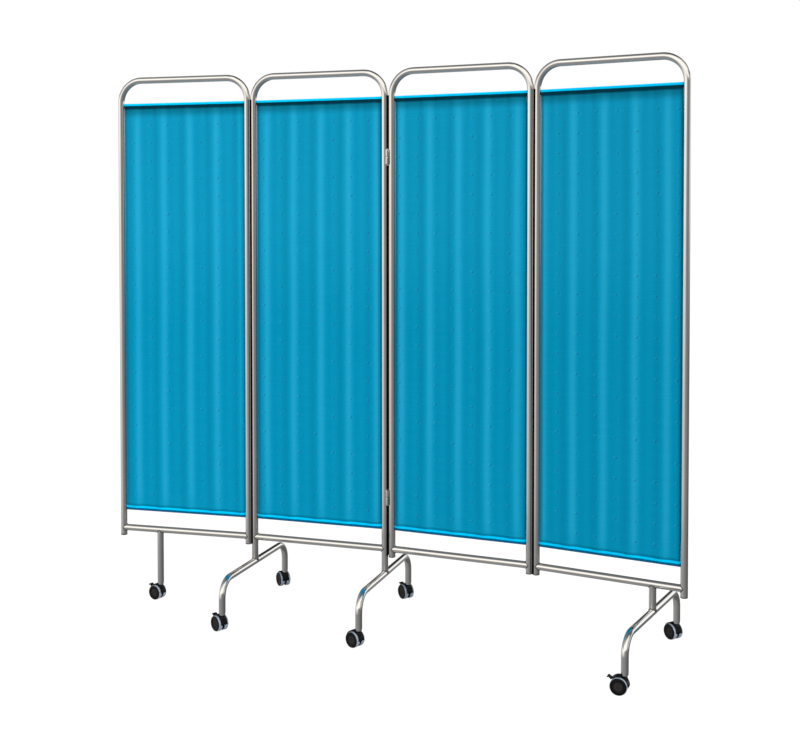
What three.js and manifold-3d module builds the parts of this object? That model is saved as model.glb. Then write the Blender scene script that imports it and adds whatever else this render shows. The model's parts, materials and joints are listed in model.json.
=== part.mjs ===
// Four-fold ward privacy screen on wheels, in millimetres.
// +X runs along the second panel, +Y away from the person in front of the screen, +Z up.
// The origin is on the floor, in the middle of the space that the open screen takes up.

import * as THREE from 'three';
import { mergeVertices } from 'three/addons/utils/BufferGeometryUtils.js';
import Module from 'manifold-3d';

const wasm = await Module();
wasm.setup();

// Panels: one bent tube each, closed at the bottom by a straight rail
const panelPitch = 488;
const stileGap = 2;
const tubeDiameter = 22;
const tubeWall = 1.2;
const bottomRailHeight = 243;
const railSpacing = 1546;
const topBendRadius = 75;
const stileTail = 27;

// Angles between neighbouring panels as the screen stands, seen from above
const restAngle12 = 3.49;
const restAngle23 = -4.88;
const restAngle34 = -6.15;

// Legs and feet
const footBarDrop = 82.5;
const footSpan = 494;
const footBendRadius = 55;
const legInset = 150;
const postInset = 106;

// Swaged tube ends that take the caster stems
const swageHeight = 9;
const swageMouthDiameter = 13;
const swageLedge = 0.3;
const socketDepth = 21;

// Barrel hinges
const hingeOffset = 12.5;
const hingeHeight = 48;
const barrelDiameter = 9;
const pinDiameter = 4.4;
const pinReach = 18;
const boreSlack = 2;
const leafThickness = 3;
const leafEndInset = 2;
const upperHingeDrop = 274;
const lowerHingeRise = 168;

// Curtains, with a rod through each hem
const curtainTopDrop = 77;
const curtainBottomRise = 61;
const curtainSideGap = 1;
const clothThickness = 1.5;
const foldDepth = 7;
const foldCount = 5;
const hemHeight = 12;
const hemThickness = 9;
const hemFade = 90;
const rodDiameter = 6;

// Twin-wheel swivel casters
const casterHeight = 54;
const casterTrail = 15;
const wheelDiameter = 50;
const casterWidth = 39;
const wheelInnerGap = 8.4;
const wheelFaceInset = 1.2;
const wheelShoulder = 3.4;
const wheelEdgeBreak = 1;
const wheelRimWidth = 5;
const axleDiameter = 6;
const hoodWidth = 24;
const hoodWall = 2.2;
const wheelClearance = 1.3;
const webThickness = 7;
const hoodSkirt = 1;
const bossDiameter = 18;
const turretDiameter = 15;
const turretHeight = 12;
const stemDiameter = 8;
const stemReach = 19;

// Brake pedal on the trailing side of a caster
const pedalWidth = 15;
const pedalBarrelDiameter = 5.2;
const pedalLength = 12;
const pedalRise = 6.5;
const pedalThickness = 3;

// Plugs in the open stile ends
const plugHeadHeight = 2.6;
const plugShankLength = 12;
const plugBevel = 0.8;

// Running gap between pieces, and how far a cut runs past a face
const clearance = 0.3;
const overrun = 2;

// Proportions
const foldHarmonicShare = 0.32;
const hemFoldShare = 0.4;
const rimRecessShare = 0.62;
const shoulderRiseShare = 0.55;
const tabCrestStartShare = 0.42;
const tabCrestEndShare = 0.7;
const tabTipHeightShare = 0.35;
const tabTipSlantShare = 0.6;
const tabHollowShare = 0.6;

// Angles about a caster's axle, in degrees above its trailing side
const pedalSeatAngle = 38;
const hoodCutAngle = 4;

// The way each caster's wheels trail, in degrees from its panel's +X
const casterHeadings = {
  '1': 163.7,
  '2_front': 150.5,
  '2_rear': 136.5,
  '3_front': 157.9,
  '3_rear': 140.7,
  '4_front': 188.4,
  '4_rear': 150.5,
};
const brakedCasters = ['1', '2_front', '3_rear', '4_front'];

// Facets
const tubeSides = 14;
const boreSides = 10;
const bendSteps = 5;
const cutterSides = 24;
const wheelSides = 16;
const hoodSides = 24;
const smallSides = 10;
const rodSides = 8;
const columnsPerFold = 7;

// Worked-out places
const tubeRadius = tubeDiameter / 2;
const boreRadius = tubeRadius - tubeWall;
const stileInset = (tubeDiameter + stileGap) / 2;
const stileSpacing = panelPitch - 2 * stileInset;
const topRailHeight = bottomRailHeight + railSpacing;
const stileEndHeight = bottomRailHeight - stileTail;
const footBarHeight = bottomRailHeight - footBarDrop;
const swageTopHeight = casterHeight + swageHeight;
const stemBoreRadius = stemDiameter / 2 + clearance;
const wheelRadius = wheelDiameter / 2;
const hoodInnerRadius = wheelRadius + wheelClearance;
const hoodOuterRadius = hoodInnerRadius + hoodWall;
const postPlace = panelPitch - postInset;

const steel = new THREE.MeshStandardMaterial({ color: 0xb9b9b4, roughness: 0.25, metalness: 1 });
const rodSteel = new THREE.MeshStandardMaterial({ color: 0xa9aaa8, roughness: 0.35, metalness: 1 });
const cloth = new THREE.MeshStandardMaterial({ color: 0x0c95c2, roughness: 0.85, metalness: 0 });
const blackPlastic = new THREE.MeshStandardMaterial({ color: 0x0d0d0e, roughness: 0.45, metalness: 0 });
const wheelPlastic = new THREE.MeshStandardMaterial({ color: 0x2a2c2f, roughness: 0.35, metalness: 0 });

// Joins and cuts

function solidOf(geometry) {
  const bare = geometry.clone();
  bare.deleteAttribute('normal');
  bare.deleteAttribute('uv');
  const welded = mergeVertices(bare);
  const mesh = new wasm.Mesh({
    numProp: 3,
    vertProperties: new Float32Array(welded.attributes.position.array),
    triVerts: new Uint32Array(welded.index.array),
  });
  return new wasm.Manifold(mesh);
}

function geometryOf(solid) {
  const mesh = solid.getMesh();
  const geometry = new THREE.BufferGeometry();
  geometry.setAttribute('position', new THREE.BufferAttribute(new Float32Array(mesh.vertProperties), 3));
  geometry.setIndex(new THREE.BufferAttribute(new Uint32Array(mesh.triVerts), 1));
  geometry.computeVertexNormals();
  return geometry;
}

// A round bar from one height to another, standing on a given spot
function roundBar(radius, low, high, x, y, sides) {
  const bar = new THREE.CylinderGeometry(radius, radius, high - low, sides);
  bar.rotateX(Math.PI / 2);
  bar.translate(x, y, (low + high) / 2);
  return solidOf(bar);
}

// A round bar along the panel, or along the foot, at a given height
function barAlongX(radius, from, to, height, sides) {
  const bar = new THREE.CylinderGeometry(radius, radius, to - from, sides);
  bar.rotateZ(Math.PI / 2);
  bar.translate((from + to) / 2, 0, height);
  return solidOf(bar);
}

function barAlongY(radius, from, to, x, height, sides) {
  const bar = new THREE.CylinderGeometry(radius, radius, to - from, sides);
  bar.translate(x, (from + to) / 2, height);
  return solidOf(bar);
}

// A flat outline in the X-Z plane, as thick as given along Y
function plateInXZ(points, halfThickness) {
  const outline = new THREE.Shape(points.map(([x, z]) => new THREE.Vector2(x, z)));
  const plate = new THREE.ExtrudeGeometry(outline, { depth: 2 * halfThickness, bevelEnabled: false });
  plate.rotateX(Math.PI / 2);
  plate.translate(0, halfThickness, 0);
  return solidOf(plate);
}

// A turned piece: a closed profile of [radius, height] points about the Z axis
function turned(profile, sides) {
  const points = profile.map(([radius, height]) => new THREE.Vector2(radius, height));
  const piece = new THREE.LatheGeometry(points, sides);
  piece.rotateX(Math.PI / 2);
  return solidOf(piece);
}

// Bent tubes

function ringPoints(radius, sides) {
  const points = [];
  for (let i = 0; i < sides; i += 1) {
    const angle = (2 * Math.PI * (i + 0.5)) / sides;
    points.push(new THREE.Vector2(radius * Math.cos(angle), radius * Math.sin(angle)));
  }
  return points;
}

// A path whose rings fall only at its own stations
class StationPath extends THREE.Curve {
  constructor(stations) {
    super();
    this.stations = stations;
  }

  station(t) {
    return this.stations[Math.round(t * (this.stations.length - 1))];
  }

  getPoint(t, target = new THREE.Vector3()) {
    return target.copy(this.station(t).point);
  }

  getPointAt(t, target = new THREE.Vector3()) {
    return target.copy(this.station(t).point);
  }

  getTangentAt(t, target = new THREE.Vector3()) {
    return target.copy(this.station(t).tangent);
  }
}

// Stations of an upturned U: up one leg, round two bends, down the other leg
function upturnedU(span, legEnd, top, bendRadius, place) {
  const stations = [];
  const add = (u, z, du, dz) => stations.push({
    point: place(u, z),
    tangent: place(du, dz).sub(place(0, 0)).normalize(),
  });
  const bendHeight = top - bendRadius;
  const addBend = (side, from, to) => {
    for (let i = 0; i <= bendSteps; i += 1) {
      const angle = THREE.MathUtils.lerp(from, to, i / bendSteps);
      const centre = side * (span / 2 - bendRadius);
      const u = centre + bendRadius * Math.cos(angle);
      add(u, bendHeight + bendRadius * Math.sin(angle), Math.sin(angle), -Math.cos(angle));
    }
  };
  add(-span / 2, legEnd, 0, 1);
  addBend(-1, Math.PI, Math.PI / 2);
  addBend(1, Math.PI / 2, 0);
  add(span / 2, legEnd, 0, -1);
  return stations;
}

function tubeAlong(stations, outerRadius, innerRadius) {
  const section = new THREE.Shape(ringPoints(outerRadius, tubeSides));
  section.holes.push(new THREE.Path(ringPoints(innerRadius, boreSides)));
  const settings = { steps: stations.length - 1, extrudePath: new StationPath(stations), bevelEnabled: false };
  return solidOf(new THREE.ExtrudeGeometry(section, settings));
}

function straightTube(from, to) {
  const tangent = to.clone().sub(from).normalize();
  return tubeAlong([{ point: from, tangent }, { point: to, tangent }], tubeRadius, boreRadius);
}

// Panel frames: stiles and top rail from one tube, in the panel's own frame
// The panel runs from the left hinge line at x = 0 to the right one at x = panelPitch

function frameTube(stileEnd) {
  const place = (u, z) => new THREE.Vector3(panelPitch / 2 + u, 0, z);
  return tubeAlong(upturnedU(stileSpacing, stileEnd, topRailHeight, topBendRadius, place), tubeRadius, boreRadius);
}

const pluggedTubeEnd = stileEndHeight + plugHeadHeight + clearance;
const pluggedFrame = geometryOf(frameTube(pluggedTubeEnd));

// The second panel's stiles reach down to the feet and are notched round their bars
function footedFrameGeometry() {
  let frame = frameTube(footBarHeight);
  for (const x of [stileInset, panelPitch - stileInset]) {
    const reach = tubeRadius + overrun;
    frame = frame.subtract(barAlongY(tubeRadius + clearance, -reach, reach, x, footBarHeight, cutterSides));
  }
  return geometryOf(frame);
}

// The bottom rail's ends are notched round the stiles
function bottomRailGeometry() {
  const left = new THREE.Vector3(stileInset, 0, bottomRailHeight);
  const right = new THREE.Vector3(panelPitch - stileInset, 0, bottomRailHeight);
  let rail = straightTube(left, right);
  const low = bottomRailHeight - tubeRadius - overrun;
  const high = bottomRailHeight + tubeRadius + overrun;
  for (const x of [left.x, right.x]) {
    rail = rail.subtract(roundBar(tubeRadius + clearance, low, high, x, 0, cutterSides));
  }
  return geometryOf(rail);
}

// Plug for an open stile end, with its head's underside at z = 0
function stilePlugGeometry() {
  const shankRadius = boreRadius * Math.cos(Math.PI / boreSides) - clearance;
  const shankTop = plugHeadHeight + clearance + plugShankLength;
  return geometryOf(turned([
    [0, 0],
    [tubeRadius - plugBevel, 0],
    [tubeRadius, plugBevel],
    [tubeRadius, plugHeadHeight],
    [shankRadius, plugHeadHeight],
    [shankRadius, shankTop],
    [0, shankTop],
  ], tubeSides));
}

// Legs and feet

// The swaged end of a vertical leg, with the socket for a caster stem
function swagedEnd(x, y) {
  const seatRadius = (tubeRadius + boreRadius) / 2;
  const end = turned([
    [stemBoreRadius, casterHeight],
    [swageMouthDiameter / 2, casterHeight],
    [tubeRadius - swageLedge, swageTopHeight],
    [seatRadius, swageTopHeight],
    [seatRadius, casterHeight + socketDepth],
    [stemBoreRadius, casterHeight + socketDepth],
    [stemBoreRadius, casterHeight],
  ], tubeSides);
  return end.translate([x, y, 0]);
}

// A foot: an upturned U across the panel, its bar's middle at the given place
function footSolid(x) {
  const place = (u, z) => new THREE.Vector3(x, u, z);
  const bar = tubeAlong(
    upturnedU(footSpan, swageTopHeight, footBarHeight, footBendRadius, place), tubeRadius, boreRadius);
  return bar.add(swagedEnd(x, -footSpan / 2)).add(swagedEnd(x, footSpan / 2));
}

// A straight post under the bottom rail, its top notched round the rail
function postSolid(x, low) {
  const post = straightTube(new THREE.Vector3(x, 0, low), new THREE.Vector3(x, 0, bottomRailHeight));
  const reach = tubeRadius + overrun;
  return post.subtract(barAlongX(tubeRadius + clearance, x - reach, x + reach, bottomRailHeight, cutterSides));
}

function legGeometry() {
  return geometryOf(postSolid(legInset, swageTopHeight).add(swagedEnd(legInset, 0)));
}

// The fourth panel's foot and its post are one welded piece; the post stops in the bar's upper wall
function postedFootGeometry() {
  const foot = footSolid(postPlace);
  const post = postSolid(postPlace, footBarHeight);
  const reach = tubeRadius + overrun;
  const notch = barAlongY(tubeRadius - tubeWall / 2, -reach, reach, postPlace, footBarHeight, cutterSides);
  return geometryOf(foot.add(post.subtract(notch)));
}

// Hinges: a lower half with the pin and an upper half that drops over it
// Each half is made about its own axis, with its leaf reaching to a stile on the -X side

function hingeLeaf(low, high) {
  const toStile = Math.hypot(stileInset, hingeOffset);
  const leaf = new THREE.BoxGeometry(toStile, leafThickness, high - low);
  leaf.translate(-toStile / 2, 0, (low + high) / 2);
  const stile = roundBar(tubeRadius + clearance, low - overrun, high + overrun, -toStile, 0, cutterSides);
  return solidOf(leaf).subtract(stile);
}

const halfHinge = hingeHeight / 2;
const knuckleGap = clearance / 2;

function pinHalfGeometry() {
  const barrel = roundBar(barrelDiameter / 2, -halfHinge, -knuckleGap, 0, 0, smallSides);
  const pin = roundBar(pinDiameter / 2, -halfHinge / 2, pinReach, 0, 0, smallSides);
  return geometryOf(barrel.add(pin).add(hingeLeaf(leafEndInset - halfHinge, -leafEndInset)));
}

function boreHalfGeometry() {
  const boreTop = Math.min(pinReach + boreSlack, halfHinge - leafEndInset);
  const barrel = roundBar(barrelDiameter / 2, knuckleGap, halfHinge, 0, 0, smallSides);
  const body = barrel.add(hingeLeaf(leafEndInset, halfHinge - leafEndInset));
  return geometryOf(body.subtract(roundBar(pinDiameter / 2 + clearance, -overrun, boreTop, 0, 0, smallSides)));
}

// Curtains

const clothLeft = stileInset + tubeRadius + curtainSideGap;
const clothWidth = panelPitch - 2 * clothLeft;
const clothBottom = bottomRailHeight + curtainBottomRise;
const clothTop = topRailHeight - curtainTopDrop;
const foldPitch = clothWidth / foldCount;
const upperHemHeight = clothTop - hemHeight / 2;
const lowerHemHeight = clothBottom + hemHeight / 2;

// One fold across the cloth: a steep side and a slack side
function foldWave(x) {
  const phase = (2 * Math.PI * x) / foldPitch;
  return Math.sin(phase) + foldHarmonicShare * Math.sin(2 * phase);
}

// The folds are shallow at the hems and reach their full depth away from them
function foldStrength(height) {
  const fromHem = Math.min(height - lowerHemHeight, upperHemHeight - height);
  return hemFoldShare + (1 - hemFoldShare) * THREE.MathUtils.smoothstep(fromHem, 0, hemFade);
}

function clothSolid() {
  const columns = foldCount * columnsPerFold;
  const heights = [lowerHemHeight, lowerHemHeight + hemFade, upperHemHeight - hemFade, upperHemHeight];
  const rows = heights.length;
  const positions = [];
  for (const side of [-1, 1]) {
    for (const height of heights) {
      for (let i = 0; i <= columns; i += 1) {
        const x = (clothWidth * i) / columns;
        const y = foldDepth * foldStrength(height) * foldWave(x);
        positions.push(clothLeft + x, y + (side * clothThickness) / 2, height);
      }
    }
  }
  const at = (side, row, column) => (side * rows + row) * (columns + 1) + column;
  const indices = [];
  const quad = (a, b, c, d) => indices.push(a, b, c, a, c, d);
  for (let row = 0; row < rows - 1; row += 1) {
    for (let i = 0; i < columns; i += 1) {
      quad(at(0, row, i), at(0, row, i + 1), at(0, row + 1, i + 1), at(0, row + 1, i));
      quad(at(1, row, i + 1), at(1, row, i), at(1, row + 1, i), at(1, row + 1, i + 1));
    }
    quad(at(1, row, 0), at(0, row, 0), at(0, row + 1, 0), at(1, row + 1, 0));
    quad(at(0, row, columns), at(1, row, columns), at(1, row + 1, columns), at(0, row + 1, columns));
  }
  for (let i = 0; i < columns; i += 1) {
    quad(at(1, 0, i), at(1, 0, i + 1), at(0, 0, i + 1), at(0, 0, i));
    quad(at(0, rows - 1, i), at(0, rows - 1, i + 1), at(1, rows - 1, i + 1), at(1, rows - 1, i));
  }
  const geometry = new THREE.BufferGeometry();
  geometry.setAttribute('position', new THREE.BufferAttribute(new Float32Array(positions), 3));
  geometry.setIndex(indices);
  return solidOf(geometry);
}

// A hem sewn round its rod: a soft-edged band with a bore along it
function hemBand(height) {
  const halfHeight = hemHeight / 2;
  const halfDepth = hemThickness / 2;
  const band = new THREE.CylinderGeometry(1, 1, clothWidth, rodSides, 1, false, Math.PI / rodSides);
  band.scale(halfHeight / Math.cos(Math.PI / rodSides), 1, halfDepth / Math.cos(Math.PI / rodSides));
  band.rotateZ(Math.PI / 2);
  band.translate(clothLeft + clothWidth / 2, 0, height);
  return solidOf(band);
}

function curtainGeometry() {
  let curtain = clothSolid();
  for (const height of [lowerHemHeight, upperHemHeight]) {
    const from = clothLeft - overrun;
    const to = clothLeft + clothWidth + overrun;
    curtain = curtain.add(hemBand(height));
    curtain = curtain.subtract(barAlongX(rodDiameter / 2 + clearance, from, to, height, rodSides));
  }
  return geometryOf(curtain);
}

function rodGeometry(height) {
  const from = stileInset + tubeRadius + clearance;
  return geometryOf(barAlongX(rodDiameter / 2, from, panelPitch - from, height, rodSides));
}

// Casters, each in its own frame: the stem on the Z axis, the wheels trailing towards +X

function aroundAxle(radius, degrees) {
  const angle = THREE.MathUtils.degToRad(degrees);
  return [casterTrail + radius * Math.cos(angle), wheelRadius + radius * Math.sin(angle)];
}

const pedalSeatRadius = hoodInnerRadius + pedalBarrelDiameter / 2;
const [pedalAxisX, pedalAxisZ] = aroundAxle(pedalSeatRadius, pedalSeatAngle);

// The hood: a fender over the wheels' inner halves, the web between them, the turret and the stem
function hoodGeometry(braked) {
  const half = hoodWidth / 2;
  const halfWeb = webThickness / 2;
  let hood = barAlongY(hoodOuterRadius, -half, half, casterTrail, wheelRadius, hoodSides);
  for (const side of [-1, 1]) {
    const faces = [side * halfWeb, side * (half + overrun)].sort((a, b) => a - b);
    hood = hood.subtract(barAlongY(hoodInnerRadius, faces[0], faces[1], casterTrail, wheelRadius, hoodSides));
  }
  const reach = hoodOuterRadius + overrun;
  const skirtHeight = wheelRadius - hoodSkirt;
  const below = plateInXZ([
    [casterTrail - reach, wheelRadius - reach],
    [casterTrail + reach, wheelRadius - reach],
    [casterTrail + reach, skirtHeight],
    [casterTrail - reach, skirtHeight],
  ], half + overrun);
  hood = hood.subtract(below);
  hood = hood.add(barAlongY(bossDiameter / 2, -halfWeb, halfWeb, casterTrail, wheelRadius, smallSides));
  const turretTop = casterHeight - clearance;
  const turret = roundBar(turretDiameter / 2, turretTop - turretHeight, turretTop, 0, 0, tubeSides);
  const wheelSpace = barAlongY(hoodInnerRadius, halfWeb, half, casterTrail, wheelRadius, hoodSides);
  const otherWheelSpace = barAlongY(hoodInnerRadius, -half, -halfWeb, casterTrail, wheelRadius, hoodSides);
  hood = hood.add(turret.subtract(wheelSpace).subtract(otherWheelSpace));
  hood = hood.add(roundBar(stemDiameter / 2, turretTop - turretHeight / 2, casterHeight + stemReach, 0, 0, smallSides));
  const boreRadiusForAxle = axleDiameter / 2 + clearance;
  hood = hood.subtract(barAlongY(boreRadiusForAxle, -half, half, casterTrail, wheelRadius, smallSides));
  if (braked) {
    const seat = pedalBarrelDiameter / 2 + clearance;
    hood = hood.subtract(barAlongY(seat, -half - overrun, half + overrun, pedalAxisX, pedalAxisZ, smallSides));
    const inner = wheelRadius;
    const outer = hoodOuterRadius + overrun;
    const middle = (pedalSeatAngle - hoodCutAngle) / 2;
    const cutPoints = [
      aroundAxle(inner, -hoodCutAngle),
      aroundAxle(outer, -hoodCutAngle),
      aroundAxle(outer, middle),
      aroundAxle(outer, pedalSeatAngle),
      aroundAxle(inner, pedalSeatAngle),
      aroundAxle(inner, middle),
    ];
    hood = hood.subtract(plateInXZ(cutPoints, half + overrun));
  }
  return geometryOf(hood);
}

// Both wheels on their axle, turned about the Y axis, with a flat facet at the bottom
function wheelsGeometry() {
  const treadRadius = wheelRadius / Math.cos(Math.PI / wheelSides);
  const half = casterWidth / 2;
  const inner = wheelInnerGap / 2;
  const rimRadius = treadRadius - wheelRimWidth;
  const side = [
    [0, half - wheelFaceInset],
    [rimRadius * rimRecessShare, half - wheelFaceInset],
    [rimRadius, half],
    [treadRadius - wheelShoulder * shoulderRiseShare, half - wheelShoulder * shoulderRiseShare],
    [treadRadius, half - wheelShoulder - wheelEdgeBreak],
    [treadRadius, inner],
    [axleDiameter / 2, inner],
  ];
  const profile = side.map(([radius, y]) => new THREE.Vector2(radius, -y));
  for (const [radius, y] of side.slice().reverse()) {
    profile.push(new THREE.Vector2(radius, y));
  }
  const wheels = new THREE.LatheGeometry(profile, wheelSides, Math.PI / wheelSides);
  return geometryOf(solidOf(wheels));
}

// The brake pedal about its own pivot: a barrel with a thumb tab
function pedalGeometry() {
  const half = pedalWidth / 2;
  const barrelRadius = pedalBarrelDiameter / 2;
  const barrel = barAlongY(barrelRadius, -half, half, 0, 0, smallSides);
  const tipHeight = pedalRise * tabTipHeightShare;
  const tipSlant = pedalThickness * tabTipSlantShare;
  const tab = plateInXZ([
    [0, 0],
    [0, barrelRadius],
    [pedalLength * tabCrestStartShare, pedalRise],
    [pedalLength * tabCrestEndShare, pedalRise],
    [pedalLength, tipHeight],
    [pedalLength - tipSlant, tipHeight - tipSlant],
    [pedalLength * tabHollowShare, pedalRise - pedalThickness],
    [barrelRadius, 0],
  ], half);
  return geometryOf(barrel.add(tab));
}

// Assembly

const bottomRail = bottomRailGeometry();
const stilePlug = stilePlugGeometry();
const curtain = curtainGeometry();
const upperRod = rodGeometry(upperHemHeight);
const lowerRod = rodGeometry(lowerHemHeight);
const pinHalf = pinHalfGeometry();
const boreHalf = boreHalfGeometry();
const plainHood = hoodGeometry(false);
const brakedHood = hoodGeometry(true);
const wheels = wheelsGeometry();
const pedal = pedalGeometry();

function named(name, geometry, material) {
  const mesh = new THREE.Mesh(geometry, material);
  mesh.name = name;
  return mesh;
}

function addPanel(group, number, frame) {
  group.add(named(`frame_${number}`, frame, steel));
  group.add(named(`bottom_rail_${number}`, bottomRail, steel));
  group.add(named(`curtain_${number}`, curtain, cloth));
  group.add(named(`upper_rod_${number}`, upperRod, rodSteel));
  group.add(named(`lower_rod_${number}`, lowerRod, rodSteel));
}

function addStilePlugs(group, number) {
  for (const [side, x] of [['left', stileInset], ['right', panelPitch - stileInset]]) {
    const plug = named(`stile_plug_${number}_${side}`, stilePlug, blackPlastic);
    plug.position.set(x, 0, stileEndHeight);
    group.add(plug);
  }
}

// One half of a hinge, on the left or right hinge line and the rear or front face of a panel
function addHingeHalves(group, name, half, geometry, x, face) {
  const stileX = x === 0 ? stileInset : panelPitch - stileInset;
  const toStile = Math.atan2(-face * hingeOffset, stileX - x);
  const places = [['upper', topRailHeight - upperHingeDrop], ['lower', bottomRailHeight + lowerHingeRise]];
  for (const [level, z] of places) {
    const mesh = named(`hinge_${name}_${level}_${half}`, geometry, steel);
    mesh.position.set(x, face * hingeOffset, z);
    mesh.rotation.z = toStile - Math.PI;
    group.add(mesh);
  }
}

// A caster under a leg of the panel
function addCaster(group, name, x, y) {
  const braked = brakedCasters.includes(name);
  const caster = new THREE.Group();
  caster.position.set(x, y, 0);
  caster.rotation.z = THREE.MathUtils.degToRad(casterHeadings[name]);
  caster.add(named(`caster_${name}_hood`, braked ? brakedHood : plainHood, blackPlastic));
  const pair = named(`caster_${name}_wheels`, wheels, wheelPlastic);
  pair.position.set(casterTrail, 0, wheelRadius);
  caster.add(pair);
  if (braked) {
    const lever = named(`caster_${name}_pedal`, pedal, blackPlastic);
    lever.position.set(pedalAxisX, 0, pedalAxisZ);
    caster.add(lever);
  }
  group.add(caster);
}

// A panel hung on another's hinge line; axis places are in each panel's own frame
function hangPanel(parent, axisInParent, axisInPanel, degrees) {
  const pivot = new THREE.Group();
  pivot.position.set(axisInParent.x, axisInParent.y, 0);
  pivot.rotation.z = THREE.MathUtils.degToRad(degrees);
  const panel = new THREE.Group();
  panel.position.set(-axisInPanel.x, -axisInPanel.y, 0);
  pivot.add(panel);
  parent.add(pivot);
  return panel;
}

const rear = 1;
const front = -1;
const leftRear = { x: 0, y: hingeOffset };
const rightRear = { x: panelPitch, y: hingeOffset };
const leftFront = { x: 0, y: -hingeOffset };
const rightFront = { x: panelPitch, y: -hingeOffset };

const screen = new THREE.Group();
const panel2 = new THREE.Group();
screen.add(panel2);
const panel1 = hangPanel(panel2, leftRear, rightRear, restAngle12);
const panel3 = hangPanel(panel2, rightFront, leftFront, restAngle23);
const panel4 = hangPanel(panel3, rightRear, leftRear, restAngle34);

addPanel(panel1, 1, pluggedFrame);
addPanel(panel2, 2, footedFrameGeometry());
addPanel(panel3, 3, pluggedFrame);
addPanel(panel4, 4, pluggedFrame);
addStilePlugs(panel1, 1);
addStilePlugs(panel3, 3);
addStilePlugs(panel4, 4);

addHingeHalves(panel2, '12', 'pin_half', pinHalf, 0, rear);
addHingeHalves(panel1, '12', 'bore_half', boreHalf, panelPitch, rear);
addHingeHalves(panel2, '23', 'pin_half', pinHalf, panelPitch, front);
addHingeHalves(panel3, '23', 'bore_half', boreHalf, 0, front);
addHingeHalves(panel3, '34', 'pin_half', pinHalf, panelPitch, rear);
addHingeHalves(panel4, '34', 'bore_half', boreHalf, 0, rear);

panel1.add(named('leg_1', legGeometry(), steel));
panel2.add(named('foot_2', geometryOf(footSolid(stileInset)), steel));
panel2.add(named('foot_3', geometryOf(footSolid(panelPitch - stileInset)), steel));
panel4.add(named('foot_4', postedFootGeometry(), steel));

addCaster(panel1, '1', legInset, 0);
addCaster(panel2, '2_front', stileInset, -footSpan / 2);
addCaster(panel2, '2_rear', stileInset, footSpan / 2);
addCaster(panel2, '3_front', panelPitch - stileInset, -footSpan / 2);
addCaster(panel2, '3_rear', panelPitch - stileInset, footSpan / 2);
addCaster(panel4, '4_front', postPlace, -footSpan / 2);
addCaster(panel4, '4_rear', postPlace, footSpan / 2);

// The whole screen is set down with its footprint's middle at the origin
screen.updateMatrixWorld(true);
const outerBox = new THREE.Box3().setFromObject(screen, true);
const middle = outerBox.getCenter(new THREE.Vector3());
screen.position.set(-middle.x, -middle.y, -outerBox.min.z);

export default screen;
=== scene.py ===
"""Looks of the four-fold ward privacy screen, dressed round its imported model. Metres, +Z up."""

import json
import math

import bmesh
import bpy
import numpy as np
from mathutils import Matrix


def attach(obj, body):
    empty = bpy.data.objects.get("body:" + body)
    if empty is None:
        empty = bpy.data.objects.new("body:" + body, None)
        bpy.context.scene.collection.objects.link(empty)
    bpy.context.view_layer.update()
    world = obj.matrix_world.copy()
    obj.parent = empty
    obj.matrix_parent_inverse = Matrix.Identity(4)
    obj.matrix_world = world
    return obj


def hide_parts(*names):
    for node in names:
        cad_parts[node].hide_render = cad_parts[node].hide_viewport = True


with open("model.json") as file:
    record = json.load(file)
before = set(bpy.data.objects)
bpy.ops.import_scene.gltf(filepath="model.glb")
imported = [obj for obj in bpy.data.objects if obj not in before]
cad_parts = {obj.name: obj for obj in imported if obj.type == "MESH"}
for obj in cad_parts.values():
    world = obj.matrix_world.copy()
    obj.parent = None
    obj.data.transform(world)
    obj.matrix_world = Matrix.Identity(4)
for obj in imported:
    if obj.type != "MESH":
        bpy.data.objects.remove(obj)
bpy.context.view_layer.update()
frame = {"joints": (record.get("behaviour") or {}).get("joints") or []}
joint_of = {joint["name"]: joint for joint in frame["joints"]}

UP = np.array([0.0, 0.0, 1.0])
ALONG = np.array([1.0, 0.0, 0.0])
ACROSS = np.array([0.0, 1.0, 0.0])

# Panels: one bent tube each, a straight bottom rail and a curtain between two rods
PITCH = 0.488
TUBE_RADIUS = 0.011
STILE_INSET = 0.012
LEFT_STILE = STILE_INSET
RIGHT_STILE = PITCH - STILE_INSET
BOTTOM_RAIL_Z = 0.243
TOP_RAIL_Z = 1.789
TOP_BEND = 0.075
STILE_END_Z = 0.216
HINGE_OFFSET = 0.0125

# Tube ends, as (height above the end, radius) pairs: one cut with an eased edge, one swaged to a caster
TUBE_EDGE = 0.0006
EASE_SHARE = 0.3
STRAIGHT_LEAD = 0.003
LEAD_LIMIT_SHARE = 0.4
CUT_END = np.array([
    (0.0, 0.0), (0.0, TUBE_RADIUS - TUBE_EDGE),
    (EASE_SHARE * TUBE_EDGE, TUBE_RADIUS - EASE_SHARE * TUBE_EDGE),
    (TUBE_EDGE, TUBE_RADIUS), (TUBE_EDGE + STRAIGHT_LEAD, TUBE_RADIUS)])
SWAGED_END = np.array([
    (0.0, 0.0), (0.0, 0.0077), (0.0003, 0.0084), (0.0012, 0.0091), (0.003, 0.0098),
    (0.006, 0.0104), (0.009, 0.0108), (0.012, 0.01095), (0.0155, TUBE_RADIUS)])

# A tube that runs into another of its own size is a hair thinner, so that their skins never coincide
BRANCH_RADIUS = TUBE_RADIUS * 0.999

# Steps in round shapes: faces round a tube, a lathed piece and a wheel, steps in a tube's bends, and
# points over a rounded rim, a plug's dome, a hem's turn, its seam, the fender and the web
TUBE_SIDES = 40
LATHE_SIDES = 48
WHEEL_SIDES = 56
BEND_STEPS = 18
RIM_POINTS = 4
DOME_POINTS = 7
HEM_POINTS = 13
SEAM_POINTS = 5
FENDER_POINTS = 41
WEB_POINTS = 40

# Legs and feet
FOOT_BAR_Z = 0.1605
FOOT_SPAN = 0.494
FOOT_BEND = 0.055
LEG_PLACE = 0.150
POST_PLACE = 0.382
LEG_END_Z = 0.0517

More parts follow.
